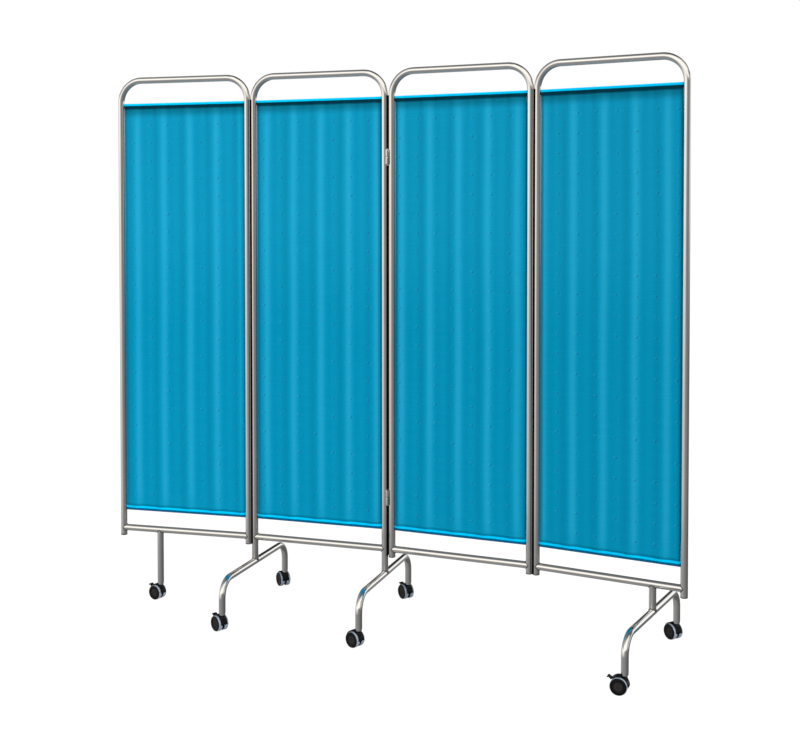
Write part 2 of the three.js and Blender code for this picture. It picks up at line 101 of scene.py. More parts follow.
# Weld beads
BEAD_RADIUS = 0.0013
BEAD_STEPS = 120
BEAD_RIPPLES = 26
BEAD_RIPPLE_SHARE = 0.1
SEAM_RADIUS = TUBE_RADIUS * 1.02
SEAM_EASE_SHARE = 0.05

# Barrel hinges, with heights in one hinge counted from its middle; a leaf stops short of the stile's axis
HINGE_HEIGHT = 0.048
UPPER_HINGE_DROP = 0.274
LOWER_HINGE_RISE = 0.168
UPPER_HINGE_Z = TOP_RAIL_Z - UPPER_HINGE_DROP
LOWER_HINGE_Z = BOTTOM_RAIL_Z + LOWER_HINGE_RISE
BARREL_RADIUS = 0.0045
BARREL_EDGE = 0.0005
KNUCKLE_GAP = 0.0003
PIN_RADIUS = 0.0022
PIN_LOW = -0.012
PIN_HIGH = 0.018
LEAF_THICKNESS = 0.003
LEAF_EDGE = 0.0004
LEAF_FOOT_INSET = 0.004
LEAF_HEAD_INSET = 0.002
LEAF_STOP = TUBE_RADIUS * 0.8

# Curtains and their rods: the sheet turns round the rods at its hems
UPPER_ROD_DROP = 0.0816
LOWER_ROD_RISE = 0.0656
UPPER_ROD_Z = TOP_RAIL_Z - UPPER_ROD_DROP
LOWER_ROD_Z = BOTTOM_RAIL_Z + LOWER_ROD_RISE
ROD_RADIUS = 0.003
HEM_RADIUS = 0.0046
HEM_RISE = 0.0034
HEM_TURN_IN = 0.012
HEM_SLANT_SHARE = 1.7
CLOTH_TOP_Z = UPPER_ROD_Z + HEM_RISE
CLOTH_BOTTOM_Z = LOWER_ROD_Z - HEM_RISE
CLOTH_THICKNESS = 0.0005
CLOTH_COLUMNS = 181
CLOTH_ROWS = 176
STILE_CLEARANCE = 0.0005

# Folds of the cloth, and the gathers under the upper hem. The first bright ridge stands at a place of
# its own on each panel, and leads its wave by a share of a fold
FOLD_PITCH = 0.0974
FOLD_DEPTH = 0.0031
FOLD_HARMONIC_SHARE = 0.46
FOLD_HARMONIC_LEAD = math.radians(50)
FOLD_LEAD_SHARE = 0.06
FOLD_RIDGES = {1: 0.0503, 2: 0.0371, 3: 0.0238, 4: 0.0101}
HEM_FOLD_SHARE = 0.72
HEM_FADE = 0.09
EDGE_FADE = 0.016
GATHER_PITCH = 0.0265
GATHER_DEPTH = 0.00055
GATHER_REACH = 0.14

# Unevenness of the hung cloth: how far it shifts the folds, changes their depth and shifts the gathers,
# with a seed for each, to which the panel's number is added
RIPPLE_WAVES = 6
FOLD_SHIFT_SHARE = 0.03
FOLD_SHIFT_SEED = 10
FOLD_DEPTH_RIPPLE_SHARE = 0.12
FOLD_DEPTH_SEED = 20
GATHER_SHIFT = 2.2
GATHER_SHORTENING = 3
GATHER_SEED = 30

# Weave of the cloth: threads, and small tufts on a grid that starts at its own place on each panel
THREAD_PITCH = 0.0006
TUFT_PITCH = 0.0617
TUFT_ROWS = 0.0606
TUFT_FIRST_ROW = 0.0765
TUFT_HALF_WIDTH = 0.0055
TUFT_HALF_HEIGHT = 0.0042
TUFT_COLUMNS = {1: 0.040, 2: 0.029, 3: 0.0185, 4: 0.060}

# Zones of the cloth's colour, the first three counted down from its top edge and the next three up from
# its bottom edge: a pair is gone at its first value and full at its second, and four values are a band.
# Apart from the two hems they are painted shade: under the upper hem, in a crease below it, on the lower
# hem's underside and in a crease above it. A painted shade runs along both stiles, and the contact shade,
# also painted, with a width for each panel, along the right
TOP_HEM = (0.0084, 0.0066)
TOP_SHADE = (0.056, 0.024)
TOP_CREASE_SHADE = (0.0070, 0.0094, 0.0165, 0.0245)
BOTTOM_HEM = (0.0082, 0.0098, 0.0150, 0.0166)
BOTTOM_UNDERSIDE_SHADE = (0.0096, 0.0078)
BOTTOM_CREASE_SHADE = (0.0150, 0.0170, 0.0200, 0.0260)
STILE_SHADE_WIDTH = 0.011
STILE_SHADE_BLUR = 0.0006
CONTACT_WIDTHS = {1: 0.0025, 2: 0.005, 3: 0.0055, 4: 0.007}

# Black cords in the grooves between neighbouring stiles, painted shade where the grooves lie in deep shade.
# Each has its face (front -1, rear 1), its radius, its angle round the stile and whether the hinges stand
# on that face
CORD_HINGE_GAP = 0.003
CORD_END_RISE = 0.004
CORD_STAND_OFF_SHARE = 0.97
OUTER_CORDS = {"front": (-1, 0.0022, math.radians(58), False), "rear": (1, 0.002, math.radians(38), True)}
MIDDLE_CORDS = {"front": (-1, 0.0022, math.radians(29), True), "rear": (1, 0.0025, math.radians(50), False)}

# Plugs in the stile ends
PLUG_HEIGHT = 0.0026
PLUG_DOME = 0.0008
PLUG_LIP = 0.0002
PLUG_GAP = 0.0003

# Casters, each in its own frame: stem on Z, wheels trailing towards +X
TRAIL = 0.015
WHEEL_RADIUS = 0.025
WHEEL_HALF_WIDTH = 0.0195
WHEEL_INNER = 0.0042
AXLE_RADIUS = 0.003
AXLE_HALF = WHEEL_HALF_WIDTH * 0.9
HOOD_INNER = 0.0263
HOOD_OUTER = 0.0279
HOOD_HALF = 0.012
HOOD_EDGE = 0.0007
WEB_HALF = 0.0035
WEB_EDGE = 0.0006
WEB_OVERLAP = 0.001
WEB_FOOT_HALF = 0.004
SKIRT_Z = 0.024
TURRET_RADIUS = 0.0075
TURRET_FOOT_Z = 0.039
TURRET_TOP_Z = 0.0514
TURRET_EDGE = 0.0008
STEM_RADIUS = 0.004
STEM_LOW_Z = TURRET_TOP_Z - 0.006
STEM_TOP_Z = 0.073
BOSS_RADIUS = 0.009
BOSS_SIDES = 36

# Brake pedals, on the fender's trailing edge
PEDAL_ANGLE = math.radians(38)
PEDAL_CLEAR_ANGLE = 0.06
PEDAL_RADIUS = 0.0026
PEDAL_HALF = 0.0075
PEDAL_LENGTH = 0.012
PEDAL_RISE = 0.0065
PEDAL_THICKNESS = 0.003
PEDAL_EDGE = 0.0008
PEDAL_BARREL_EDGE = 0.0005

# Meshes: points nearer than this are one point, and edges shorter than this are nothing
SAME_POINT = 1e-6
NO_LENGTH = 1e-7

# Camera, worked out from the photograph: its place is in the second panel's own frame
CAMERA_PLACE = (1.7526, -3.7014, 1.3275)
CAMERA_TURN = math.radians(18.31)
CAMERA_PITCH = math.radians(-1.661)
FOCAL_PIXELS = 1210.2
PHOTO_WIDTH = 800
PHOTO_HEIGHT = 745
HORIZON_PIXEL = 250.4
SENSOR = 36.0

# Floor: how far it reaches, its grey under the light, and the white that the camera sees over it
FLOOR_REACH = 40.0
FLOOR_GREY = (0.8, 0.8, 0.8, 1.0)
FLOOR_GLOW = 1.1
FLOOR_GLOW_SHARE = 0.85

# Levels of the studio's light, where 1 is white
DIM_LEVEL = 0.19
DIM_LEFT_LEVEL = 0.26
SOFT_BOX_LEVEL = 1.22
PANEL_LEVEL = 1.42
REAR_WALL_LEVEL = 0.34
GLOW_LEVEL = 0.75
AMBIENT_LEVEL = 0.74
KEY_LEVEL = 0.72
KEY_AZIMUTH = math.radians(62)
KEY_HEIGHT = math.radians(36)
KEY_WIDTH = math.radians(50)

# What stands in the studio: bearings in radians to the right of the camera's side, and heights from -1
# below to 1 overhead. Each band starts at its first value, is full from the second to the third, and
# ends at the fourth
LEFT_BOX_BEARINGS = (-2.15, -1.65, -0.8, -0.25)
GLOW_BEARINGS = (0.75, 1.25, 1.85, 2.15)
GLOW_HEIGHTS = (-0.12, 0.05, 0.28, 0.4)
PANEL_BEARINGS = (1.8, 2.1, 2.45, 2.75)
PANEL_HEIGHTS = (-0.1, 0.1, 0.34, 0.48)
REAR_WALL_HEIGHTS = (-0.6, -0.2, 0.08, 0.22)
DARK_WALL_HEIGHTS = (0.12, 0.26, 0.6, 0.85)

WHITE = (1.0, 1.0, 1.0, 1.0)
COOL_LIGHT = (0.97, 0.98, 1.0, 1.0)
WARM_LOW_LIGHT = (1.0, 0.945, 0.87, 1.0)
WARM_HIGH_LIGHT = (1.0, 0.975, 0.93, 1.0)


# Places in the model


class Place:
    """A frame on the floor: its points turn about Z by an angle, then move to a spot."""

    def __init__(self, spot, angle):
        self.spot = np.array([spot[0], spot[1], 0.0])
        self.along = np.array([math.cos(angle), math.sin(angle), 0.0])
        self.across = np.array([-math.sin(angle), math.cos(angle), 0.0])

    def put(self, points):
        """Where the frame's points lie in the model: x * along + y * across + z * up + spot."""
        points = np.asarray(points, float)
        turned_points = points[..., :1] * self.along + points[..., 1:2] * self.across
        turned_points[..., 2] += points[..., 2]
        return turned_points + self.spot

    def stand(self, *skins):
        """Surfaces drawn in this frame, moved to where it stands in the model."""
        return [skin.moved(self.put) for skin in skins]


def place_by(first, first_joint, second, second_joint):
    """The frame in which two joints lie at two known spots: it is turned by the bearing from joint to
    joint less that from spot to spot, and it stands at the first joint less the first spot, so turned."""
    a = np.array(joint_of[first_joint]["pos_m"][:2])
    b = np.array(joint_of[second_joint]["pos_m"][:2])
    here = np.array(second) - np.array(first)
    there = b - a
    angle = math.atan2(there[1], there[0]) - math.atan2(here[1], here[0])
    offset = (math.cos(angle) * first[0] - math.sin(angle) * first[1],
              math.sin(angle) * first[0] + math.cos(angle) * first[1])
    return Place(a - np.array(offset), angle)


REAR_LEFT = (0.0, HINGE_OFFSET)
REAR_RIGHT = (PITCH, HINGE_OFFSET)
FRONT_LEFT = (0.0, -HINGE_OFFSET)
FRONT_RIGHT = (PITCH, -HINGE_OFFSET)
panel_places = {
    1: place_by((LEG_PLACE, 0.0), "swivel_1", REAR_RIGHT, "fold_12"),
    2: place_by(REAR_LEFT, "fold_12", FRONT_RIGHT, "fold_23"),
    3: place_by(FRONT_LEFT, "fold_23", REAR_RIGHT, "fold_34"),
    4: place_by(REAR_LEFT, "fold_34", (POST_PLACE, -FOOT_SPAN / 2), "swivel_4_front"),
}


def caster_place(name):
    """A caster's frame: it stands at its stem's joint, and its axle runs along (-sin, cos) of its angle."""
    axle = joint_of[f"roll_{name}"]["axis"]
    return Place(joint_of[f"swivel_{name}"]["pos_m"][:2], math.atan2(-axle[0], axle[1]))


# Surfaces: each is a grid of points with pattern coordinates and a finish for each band of faces


class Skin:
    """A grid of points; pattern holds (along, around) in metres and bands the finish of each row.

    Caps close the grid's two ends, and marks are named values kept for each point."""

    def __init__(self, points, pattern, bands=0, caps=False):
        self.points = np.asarray(points, float)
        self.pattern = np.asarray(pattern, float)
        self.bands = bands
        self.caps = caps
        self.marks = {}

    def moved(self, change):
        """The same surface with its points passed through a change of place."""
        self.points = change(self.points)
        return self

    def shifted(self, offset):
        """The same surface with an offset added to its points."""
        self.points = self.points + offset
        return self

    def faces(self, start):
        """Corner numbers of the grid's faces, and of its two end caps where it has them."""
        rows, columns = self.points.shape[:2]
        r, c = np.meshgrid(np.arange(rows - 1), np.arange(columns - 1), indexing="ij")
        corner = start + r * columns + c
        quads = np.stack([corner, corner + 1, corner + columns + 1, corner + columns], -1)
        faces = quads.reshape(-1, 4).tolist()
        bands = np.broadcast_to(self.bands, (rows - 1,))
        finishes = np.repeat(bands, columns - 1).tolist()
        if self.caps:
            last = start + (rows - 1) * columns
            faces.append(list(range(start, start + columns - 1)))
            faces.append(list(range(last, last + columns - 1)))
            finishes += [int(bands[0]), int(bands[-1])]
        return faces, finishes


def lengths_along(path):
    """Distance covered along a path up to each of its points."""
    steps = np.linalg.norm(np.diff(path, axis=0), axis=1)
    return np.concatenate([[0.0], np.cumsum(steps)])


def circle(sides):
    """Cosine and sine round a full turn, its end on its start."""
    angle = np.linspace(0.0, 2 * math.pi, sides + 1)
    return np.stack([np.cos(angle), np.sin(angle)], -1)


def wrapped(path, radius, sides):
    """Pattern coordinates of a round surface: the distance along its path, and round its widest girth."""
    around = np.linspace(0.0, 2 * math.pi * radius, sides + 1)
    return np.stack(np.meshgrid(lengths_along(path), around, indexing="ij"), -1)


def carried(path, tangents, side, radii, sides=TUBE_SIDES, bands=0):
    """A round section carried along a path: centre + radius * (cos a * side + sin a * tangent x side)."""
    path = np.asarray(path, float)
    radii = np.broadcast_to(radii, (len(path),))
    side = np.broadcast_to(np.asarray(side, float), path.shape)
    up = np.cross(tangents, side)
    turn = circle(sides)
    ring = turn[None, :, :1] * side[:, None] + turn[None, :, 1:] * up[:, None]
    points = path[:, None] + radii[:, None, None] * ring
    return Skin(points, wrapped(path, radii.max(), sides), bands)


def bar(start, end, side, radius, edge=TUBE_EDGE, sides=TUBE_SIDES, bands=0):
    """A straight round bar with eased ends: its section steps in from the full radius over the edge.

    A ring a little further in keeps the long side's shading straight."""
    start = np.asarray(start, float)
    end = np.asarray(end, float)
    length = np.linalg.norm(end - start)
    axis = (end - start) / length
    lead = min(edge + STRAIGHT_LEAD, LEAD_LIMIT_SHARE * length)
    reach = np.array([0.0, 0.0, EASE_SHARE * edge, edge, lead])
    shrink = np.array([radius, edge, EASE_SHARE * edge, 0.0, 0.0])
    path = np.concatenate([start + reach[:, None] * axis, end - reach[::-1, None] * axis])
    radii = radius - np.concatenate([shrink, shrink[::-1]])
    return carried(path, np.broadcast_to(axis, path.shape), side, radii, sides, bands)


def turned(profile, sides=LATHE_SIDES, bands=0):
    """A profile of (radius, height) points turned about Z: (radius * cos a, radius * sin a, height)."""
    profile = np.asarray(profile, float)
    height = np.broadcast_to(profile[:, None, 1:], (len(profile), sides + 1, 1))
    points = np.concatenate([profile[:, None, :1] * circle(sides)[None], height], -1)
    return Skin(points, wrapped(profile, profile[:, 0].max(), sides), bands)


def eased(points):
    """A closed outline whose corners are cut at a quarter of each side, twice, so that they turn round."""
    points = np.asarray(points, float)
    for _ in range(2):
        after = np.roll(points, -1, axis=0)
        points = np.stack([0.75 * points + 0.25 * after, 0.25 * points + 0.75 * after], 1)
        points = points.reshape(-1, 2)
    return points


def slab(outline, half, edge):
    """A flat outline in (x, z), as thick as twice half along y, with a rounded rim.

    Over a quarter turn t the rim is the outline drawn in by edge * (1 - sin t), at the level
    half - edge * (1 - cos t) to either side."""
    outline = np.asarray(outline, float)
    after = np.roll(outline, -1, axis=0)
    tangent = after - np.roll(outline, 1, axis=0)
    tangent /= np.linalg.norm(tangent, axis=1)[:, None]
    area = np.sum(outline[:, 0] * after[:, 1] - outline[:, 1] * after[:, 0])
    outward = np.sign(area) * np.stack([tangent[:, 1], -tangent[:, 0]], -1)
    turn = np.linspace(0.0, math.pi / 2, RIM_POINTS)
    inset = edge * (1 - np.sin(turn))
    inset = np.concatenate([inset, inset[::-1]])
    level = half - edge * (1 - np.cos(turn))
    level = np.concatenate([-level, level[::-1]])
    rings = outline[None] - inset[:, None, None] * outward[None]
    rings = np.concatenate([rings, rings[:, :1]], 1)
    y = np.broadcast_to(level[:, None, None], rings.shape[:2] + (1,))
    points = np.concatenate([rings[..., :1], y, rings[..., 1:]], -1)
    return Skin(points, rings, caps=True)


def upturned_u(middle, run, side, span, end_z, top_z, bend, end_shape):
    """A tube bent to an upturned U over a middle on the floor, with its top along run and its legs down.

    Each quarter bend is its centre plus bend times (cos, sin), with a ring a little before and after it
    so that the straight runs shade straight. The end's (height, radius) pairs shape both of its ends."""
    rise, end_radii = end_shape.T
    turn = np.linspace(0.0, math.pi / 2, BEND_STEPS + 1)
    left = np.stack([-span / 2 + bend - bend * np.cos(turn), top_z - bend + bend * np.sin(turn)], -1)
    left = np.concatenate([left[:1] - [0.0, STRAIGHT_LEAD], left, left[-1:] + [STRAIGHT_LEAD, 0.0]])
    turn = np.concatenate([turn[:1], turn, turn[-1:]])
    leg = np.stack([np.full(len(rise), -span / 2), end_z + rise], -1)
    half = np.concatenate([leg, left])
    half_tangents = np.concatenate([
        np.broadcast_to([0.0, 1.0], leg.shape), np.stack([np.sin(turn), np.cos(turn)], -1)])
    flat = np.concatenate([half, half[::-1] * [-1, 1]])
    flat_tangents = np.concatenate([half_tangents, half_tangents[::-1] * [1, -1]])
    path = middle + flat[:, :1] * run + flat[:, 1:] * UP
    tangents = flat_tangents[:, :1] * run + flat_tangents[:, 1:] * UP
    radii = np.concatenate([end_radii, np.full(2 * len(turn), TUBE_RADIUS), end_radii[::-1]])
    return carried(path, tangents, side, radii)


def bead(centre, branch, run):
    """A weld bead round a tube that meets another of its own size; its finish is the piece's second.

    The seam is centre + R * (cos a * t + sin a * run + |sin a| * branch), with t square to both and
    |sin a| eased at 0; a small round section with ripples is carried along it."""
    centre, branch, run = (np.asarray(v, float) for v in (centre, branch, run))
    angle = np.linspace(0.0, 2 * math.pi, BEAD_STEPS + 1)
    lift = np.sqrt(np.sin(angle) ** 2 + SEAM_EASE_SHARE ** 2)
    out = np.cos(angle)[:, None] * np.cross(branch, run) + np.sin(angle)[:, None] * run
    path = centre + SEAM_RADIUS * (out + lift[:, None] * branch)
    tangents = np.gradient(path, axis=0)
    tangents[0] = tangents[-1] = path[1] - path[-2]
    tangents /= np.linalg.norm(tangents, axis=1)[:, None]
    side = np.cross(tangents, out)
    side /= np.linalg.norm(side, axis=1)[:, None]
    radii = BEAD_RADIUS * (1 + BEAD_RIPPLE_SHARE * np.sin(BEAD_RIPPLES * angle))
    return carried(path, tangents, side, radii, sides=12, bands=1)


def joined(name, skins):
    """One mesh of several surfaces, with their pattern coordinates, finish numbers and marks."""
    vertices = np.concatenate([skin.points.reshape(-1, 3) for skin in skins])
    pattern = np.concatenate([skin.pattern.reshape(-1, 2) for skin in skins])
    faces = []
    bands = []
    start = 0
    for skin in skins:
        new_faces, new_bands = skin.faces(start)
        faces += new_faces
        bands += new_bands
        start += skin.points.shape[0] * skin.points.shape[1]
    mesh = bpy.data.meshes.new(name)
    mesh.from_pydata(vertices, [], faces)
    corners = np.zeros(len(mesh.loops), np.int32)
    mesh.loops.foreach_get("vertex_index", corners)
    layer = mesh.uv_layers.new(name="pattern")
    layer.data.foreach_set("uv", pattern[corners].astype(np.float32).ravel())
    for mark, values in skins[0].marks.items():
        layer = mesh.attributes.new(mark, "FLOAT", "POINT")
        layer.data.foreach_set("value", np.asarray(values, np.float32).ravel())
    return mesh, bands


def close_up(mesh):
    """Seams and poles are merged, and the faces of each closed shell turned outwards."""
    work = bmesh.new()
    work.from_mesh(mesh)
    bmesh.ops.remove_doubles(work, verts=work.verts, dist=SAME_POINT)
    bmesh.ops.dissolve_degenerate(work, dist=NO_LENGTH, edges=work.edges)
    bmesh.ops.recalc_face_normals(work, faces=work.faces)
    work.to_mesh(mesh)
    work.free()


def build(name, skins, finishes, body, slot, *nodes, sharp=40.0):
    """One piece: its surfaces joined, closed and given their finishes, riding on a body."""
    mesh, bands = joined(name, skins)
    for finish in finishes:
        mesh.materials.append(finish)
    mesh.polygons.foreach_set("material_index", np.array(bands, np.int32))
    close_up(mesh)
    mesh.shade_smooth()
    mesh.set_sharp_from_angle(angle=math.radians(sharp))
    piece = bpy.data.objects.new(name, mesh)
    bpy.context.scene.collection.objects.link(piece)
    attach(piece, body)
    if nodes:
        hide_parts(*nodes)
    return piece


# Shader maths


class Wire:
    """A value that varies over a surface; arithmetic on it adds Math nodes."""

    def __init__(self, nodes, socket):
        self.nodes = nodes
        self.socket = socket

    def math(self, operation, *others):
        """A Math node's operation on this value and others."""
        return self.nodes.add("ShaderNodeMath", {"operation": operation}, dict(enumerate((self, *others))))

    def out(self, name):
        """Another output of the node that gives this value."""
        return Wire(self.nodes, self.socket.node.outputs[name])

    def __add__(self, other):
        return self.math("ADD", other)

    __radd__ = __add__

    def __mul__(self, other):
        return self.math("MULTIPLY", other)

    __rmul__ = __mul__

    def __sub__(self, other):
        return self.math("SUBTRACT", other)

    def __rsub__(self, other):
        return self.nodes.add("ShaderNodeMath", {"operation": "SUBTRACT"}, {0: other, 1: self})

    def __truediv__(self, other):
        return self.math("DIVIDE", other)

    def between(self, low, high):
        """0 below low and 1 above high, with a smooth step; low may be the higher of the two."""
        settings = {"interpolation_type": "SMOOTHSTEP"}
        ends = {"Value": self, "From Min": low, "From Max": high}
        return self.nodes.add("ShaderNodeMapRange", settings, ends)

    def band(self, start, full, full_still, end):
        """0 outside start and end, 1 from full to full still, and a smooth step on each side."""
        return self.between(start, full) * self.between(end, full_still)

    def cell(self):
        """The distance to the middle of the unit cell that the value lies in, from -0.5 to 0.5."""
        return self.math("FRACT") - 0.5


class Nodes:
    """A node tree to which nodes are added by type, settings and the values of their sockets."""

    def __init__(self, tree):
        self.tree = tree

    def add(self, kind, settings=(), inputs=()):
        """A new node: its settings are set first, then its sockets; its first output comes back."""
        node = self.tree.nodes.new(kind)
        for name, value in dict(settings).items():
            setattr(node, name, value)
        for name, value in dict(inputs).items():
            self.feed(node.inputs[name], value)
        return Wire(self, node.outputs[0])

    def feed(self, socket, value):
        """A socket is linked to a wire, or set to a plain value."""
        if isinstance(value, Wire):
            self.tree.links.new(value.socket, socket)
        else:
            socket.default_value = value

    def blend(self, share, first, second):
        """A colour between two colours: first * (1 - share) + second * share."""
        made = self.add("ShaderNodeMix", {"data_type": "RGBA"}, {0: share, 6: first, 7: second})
        return Wire(self, made.socket.node.outputs[2])

    def parts(self, vector):
        """A vector's three components."""
        split = self.add("ShaderNodeSeparateXYZ", (), {0: vector})
        return [split.out(axis) for axis in "XYZ"]

    def noise(self, vector, scale, detail=2.0):
        """Soft noise from 0 to 1, with so many cells to the metre."""
        return self.add("ShaderNodeTexNoise", (), {"Vector": vector, "Scale": scale, "Detail": detail})

    def mark(self, name):
        """A value kept for each point of the mesh."""
        return self.add("ShaderNodeAttribute", {"attribute_name": name}).out("Fac")


class Finish(Nodes):
    """A material on the standard shader: fixed values are set on its own sockets."""

    def __init__(self, name, fixed):
        self.material = bpy.data.materials.new(name)
        self.material.use_nodes = True
        super().__init__(self.material.node_tree)
        self.shader = self.tree.nodes["Principled BSDF"]
        for socket, value in fixed.items():
            self.shader.inputs[socket].default_value = value
        self.pattern = self.add("ShaderNodeUVMap", {"uv_map": "pattern"})
        self.spot = self.add("ShaderNodeTexCoord").out("Object")

    def give(self, socket, value):
        """A wire feeds one of the shader's sockets."""
        self.feed(self.shader.inputs[socket], value)

    def streaks(self, along, around, detail=2.0):
        """Noise stretched over the piece's pattern, with so many cells to the metre each way."""
        cells = self.add("ShaderNodeMapping", (), {"Vector": self.pattern, "Scale": (along, around, 1.0)})
        return self.noise(cells, 1.0, detail)

    def bump(self, height, distance, strength):
        """Relief at a strength: a height of 1 stands for the distance, in metres."""
        inputs = {"Strength": strength, "Distance": distance, "Height": height}
        self.give("Normal", self.add("ShaderNodeBump", (), inputs))


def srgb(red, green, blue):
    """A colour written as on a screen, 0 to 255, turned to linear light."""
    share = np.array([red, green, blue]) / 255.0
    linear = np.where(share <= 0.04045, share / 12.92, ((share + 0.055) / 1.055) ** 2.4)
    return (*linear.tolist(), 1.0)


# Finishes


def polished_steel():
    """Stainless tube, polished round its girth: faint rings, soft clouds and a few fine scratches."""
    finish = Finish("polished_steel", {"Metallic": 1.0})
    rings = finish.streaks(1500.0, 12.0, 3.0)
    clouds = finish.noise(finish.spot, 9.0, 3.0)
    scratches = finish.streaks(40.0, 900.0)
    scratch = scratches.between(0.68, 0.74)
    finish.give("Roughness", 0.05 + 0.05 * clouds + 0.04 * rings + 0.06 * scratch)
    finish.give("Base Color", finish.blend(clouds, srgb(201, 199, 195), srgb(212, 210, 206)))
    finish.bump(rings - 0.4 * scratch, 0.00001, 0.5)
    return finish.material


def welded_steel():
    """Weld bead: duller metal with a straw tint in patches."""
    finish = Finish("welded_steel", {"Metallic": 1.0})
    patches = finish.noise(finish.spot, 160.0, 3.0)
    finish.give("Roughness", 0.32 + 0.15 * patches)
    finish.give("Base Color", finish.blend(patches.between(0.4, 0.7), srgb(92, 89, 84), srgb(108, 97, 80)))
    finish.bump(finish.noise(finish.spot, 900.0), 0.0001, 0.6)
    return finish.material


def drawn_wire():
    """Bright drawn steel rod, with fine lines along it."""
    finish = Finish("drawn_wire", {"Metallic": 1.0})
    lines = finish.streaks(20.0, 2500.0)
    finish.give("Roughness", 0.25 + 0.12 * lines)
    finish.give("Base Color", srgb(170, 170, 168))
    finish.bump(lines, 0.00002, 0.6)
    return finish.material


def tuft(across, up):
    """1 on a small dash, falling to 0 past its ends: a smooth step of its elliptic distance."""
    wide = across / TUFT_HALF_WIDTH
    high = up / TUFT_HALF_HEIGHT
    return (wide * wide + high * high).between(1.0, 0.2)


def woven_tufts(finish, across, up):
    """Tufts on a square grid that wanders a little, some more worn than others: the dark dash of each,
    and the glint on both of its sides."""
    wander = finish.streaks(14.0, 14.0, 1.0) - 0.5
    column = (across / TUFT_PITCH + wander * 0.2 + 0.5).cell() * TUFT_PITCH
    row = ((CLOTH_TOP_Z - up - TUFT_FIRST_ROW) / TUFT_ROWS + wander * 0.16 + 0.5).cell() * -TUFT_ROWS
    worn = 0.45 + 0.55 * finish.streaks(31.0, 31.0, 1.0).between(0.35, 0.62)
    glint = tuft(column + TUFT_HALF_WIDTH * 0.95, row - TUFT_HALF_HEIGHT * 0.5)
    other_glint = tuft(column - TUFT_HALF_WIDTH, row + TUFT_HALF_HEIGHT * 0.4)
    return tuft(column, row) * worn, glint.math("MAXIMUM", 0.6 * other_glint) * worn


def curtain_cloth():
    """Plain woven polyester: a fine weave, small woven tufts and bright hems.

    Its colour starts from two plain blues, the lighter one higher up as painted light, and each layer then
    blends a tint into it by a share."""
    finish = Finish("curtain_cloth", {"Roughness": 0.82, "Specular IOR Level": 0.02})
    across, up, _ = finish.parts(finish.pattern)
    threads = 2 * math.pi / THREAD_PITCH
    weave = (across * threads).math("SINE") * (up * threads).math("SINE")
    slub = finish.streaks(900.0, 30.0, 3.0)
    dash, glint = woven_tufts(finish, across, up)
    below_top = CLOTH_TOP_Z - up
    above_foot = up - CLOTH_BOTTOM_Z
    ridge = finish.mark("ridge")
    # Painted shade along both stiles, where the cloth meets the tubes
    painted_stile_shade = finish.mark("to_edge").between(STILE_SHADE_WIDTH + STILE_SHADE_BLUR, STILE_SHADE_WIDTH - STILE_SHADE_BLUR)
    hems = below_top.between(*TOP_HEM).math("MAXIMUM", above_foot.band(*BOTTOM_HEM))
    # Painted light: the cloth turns lighter from 0.9 m up to 1.35 m, mixed with a slow random tone
    painted_light_and_tone = up.between(0.9, 1.35) * 0.75 + finish.streaks(5.0, 1.2) * 0.25
    colour = finish.blend(painted_light_and_tone, srgb(0, 137, 176), srgb(13, 145, 184))
    # Painted light among the layers: the fold sheen and the tuft glints are painted highlights; the shade
    # along the stiles, the contact shade, the shade and crease under the upper hem, and the lower hem's
    # underside and the crease over it are painted shade
    layers = (
        (slub * 0.12, srgb(10, 168, 206)),
        (finish.streaks(11.0, 260.0).between(0.3, 0.7) * 0.06, srgb(40, 190, 225)),
        (ridge * ridge * 0.13, srgb(85, 195, 220)),
        (painted_stile_shade * 0.35, srgb(0, 118, 152)),
        (finish.mark("contact").between(1.0, 0.35) * 0.55, srgb(0, 62, 92)),
        (dash * 0.42, srgb(0, 90, 124)),
        (glint * 0.12, srgb(80, 190, 224)),
        (below_top.between(*TOP_SHADE) * 0.6, srgb(4, 84, 100)),
        (below_top.band(*TOP_CREASE_SHADE) * 0.94, srgb(0, 44, 58)),
        (above_foot.between(*BOTTOM_UNDERSIDE_SHADE) * 0.9, srgb(0, 84, 126)),
        (above_foot.band(*BOTTOM_CREASE_SHADE) * 0.5, srgb(0, 92, 122)),
        (hems, srgb(0, 200, 252)),
    )
    for share, tint in layers:
        colour = finish.blend(share, colour, tint)
    finish.give("Base Color", colour)
    finish.bump(weave * 0.25 + slub * 0.4 - dash * 4.0 + glint * 2.4, 0.0002, 0.5)
    return finish.material


def moulded_plastic(name, dark, light, roughness, coat=0.0, shine=0.5):
    """Moulded nylon or rubber: fine grain, and a slight mottle in its colour, roughness and coat."""
    finish = Finish(name, {"Coat Roughness": 0.12, "Specular IOR Level": shine})
    mottle = finish.noise(finish.spot, 140.0, 3.0)
    grain = finish.noise(finish.spot, 1800.0)
    finish.give("Base Color", finish.blend(mottle, dark, light))
    finish.give("Roughness", roughness + 0.12 * mottle)
    if coat:
        finish.give("Coat Weight", coat * (0.7 + 0.5 * mottle))
    finish.bump(grain, 0.00004, 0.5)
    return finish.material


STEEL = polished_steel()
WELD = welded_steel()
WIRE = drawn_wire()
CLOTH = curtain_cloth()
NYLON = moulded_plastic("black_nylon", srgb(4, 4, 5), srgb(9, 9, 10), 0.36, shine=0.16)
HUB = moulded_plastic("hub_disc", srgb(38, 34, 33), srgb(50, 46, 44), 0.55, shine=0.12)
TREAD = moulded_plastic("wheel_tread", srgb(124, 134, 148), srgb(148, 158, 170), 0.24, coat=1.0)
PLUG = moulded_plastic("stile_plug", srgb(20, 20, 20), srgb(30, 30, 30), 0.5)
# Black for the cords that stand in for the deep shade between stiles: painted shade
GAP_SHADE_BLACK = moulded_plastic("cord_rubber", srgb(2, 2, 3), srgb(6, 6, 7), 0.85, shine=0.08)


# Panels


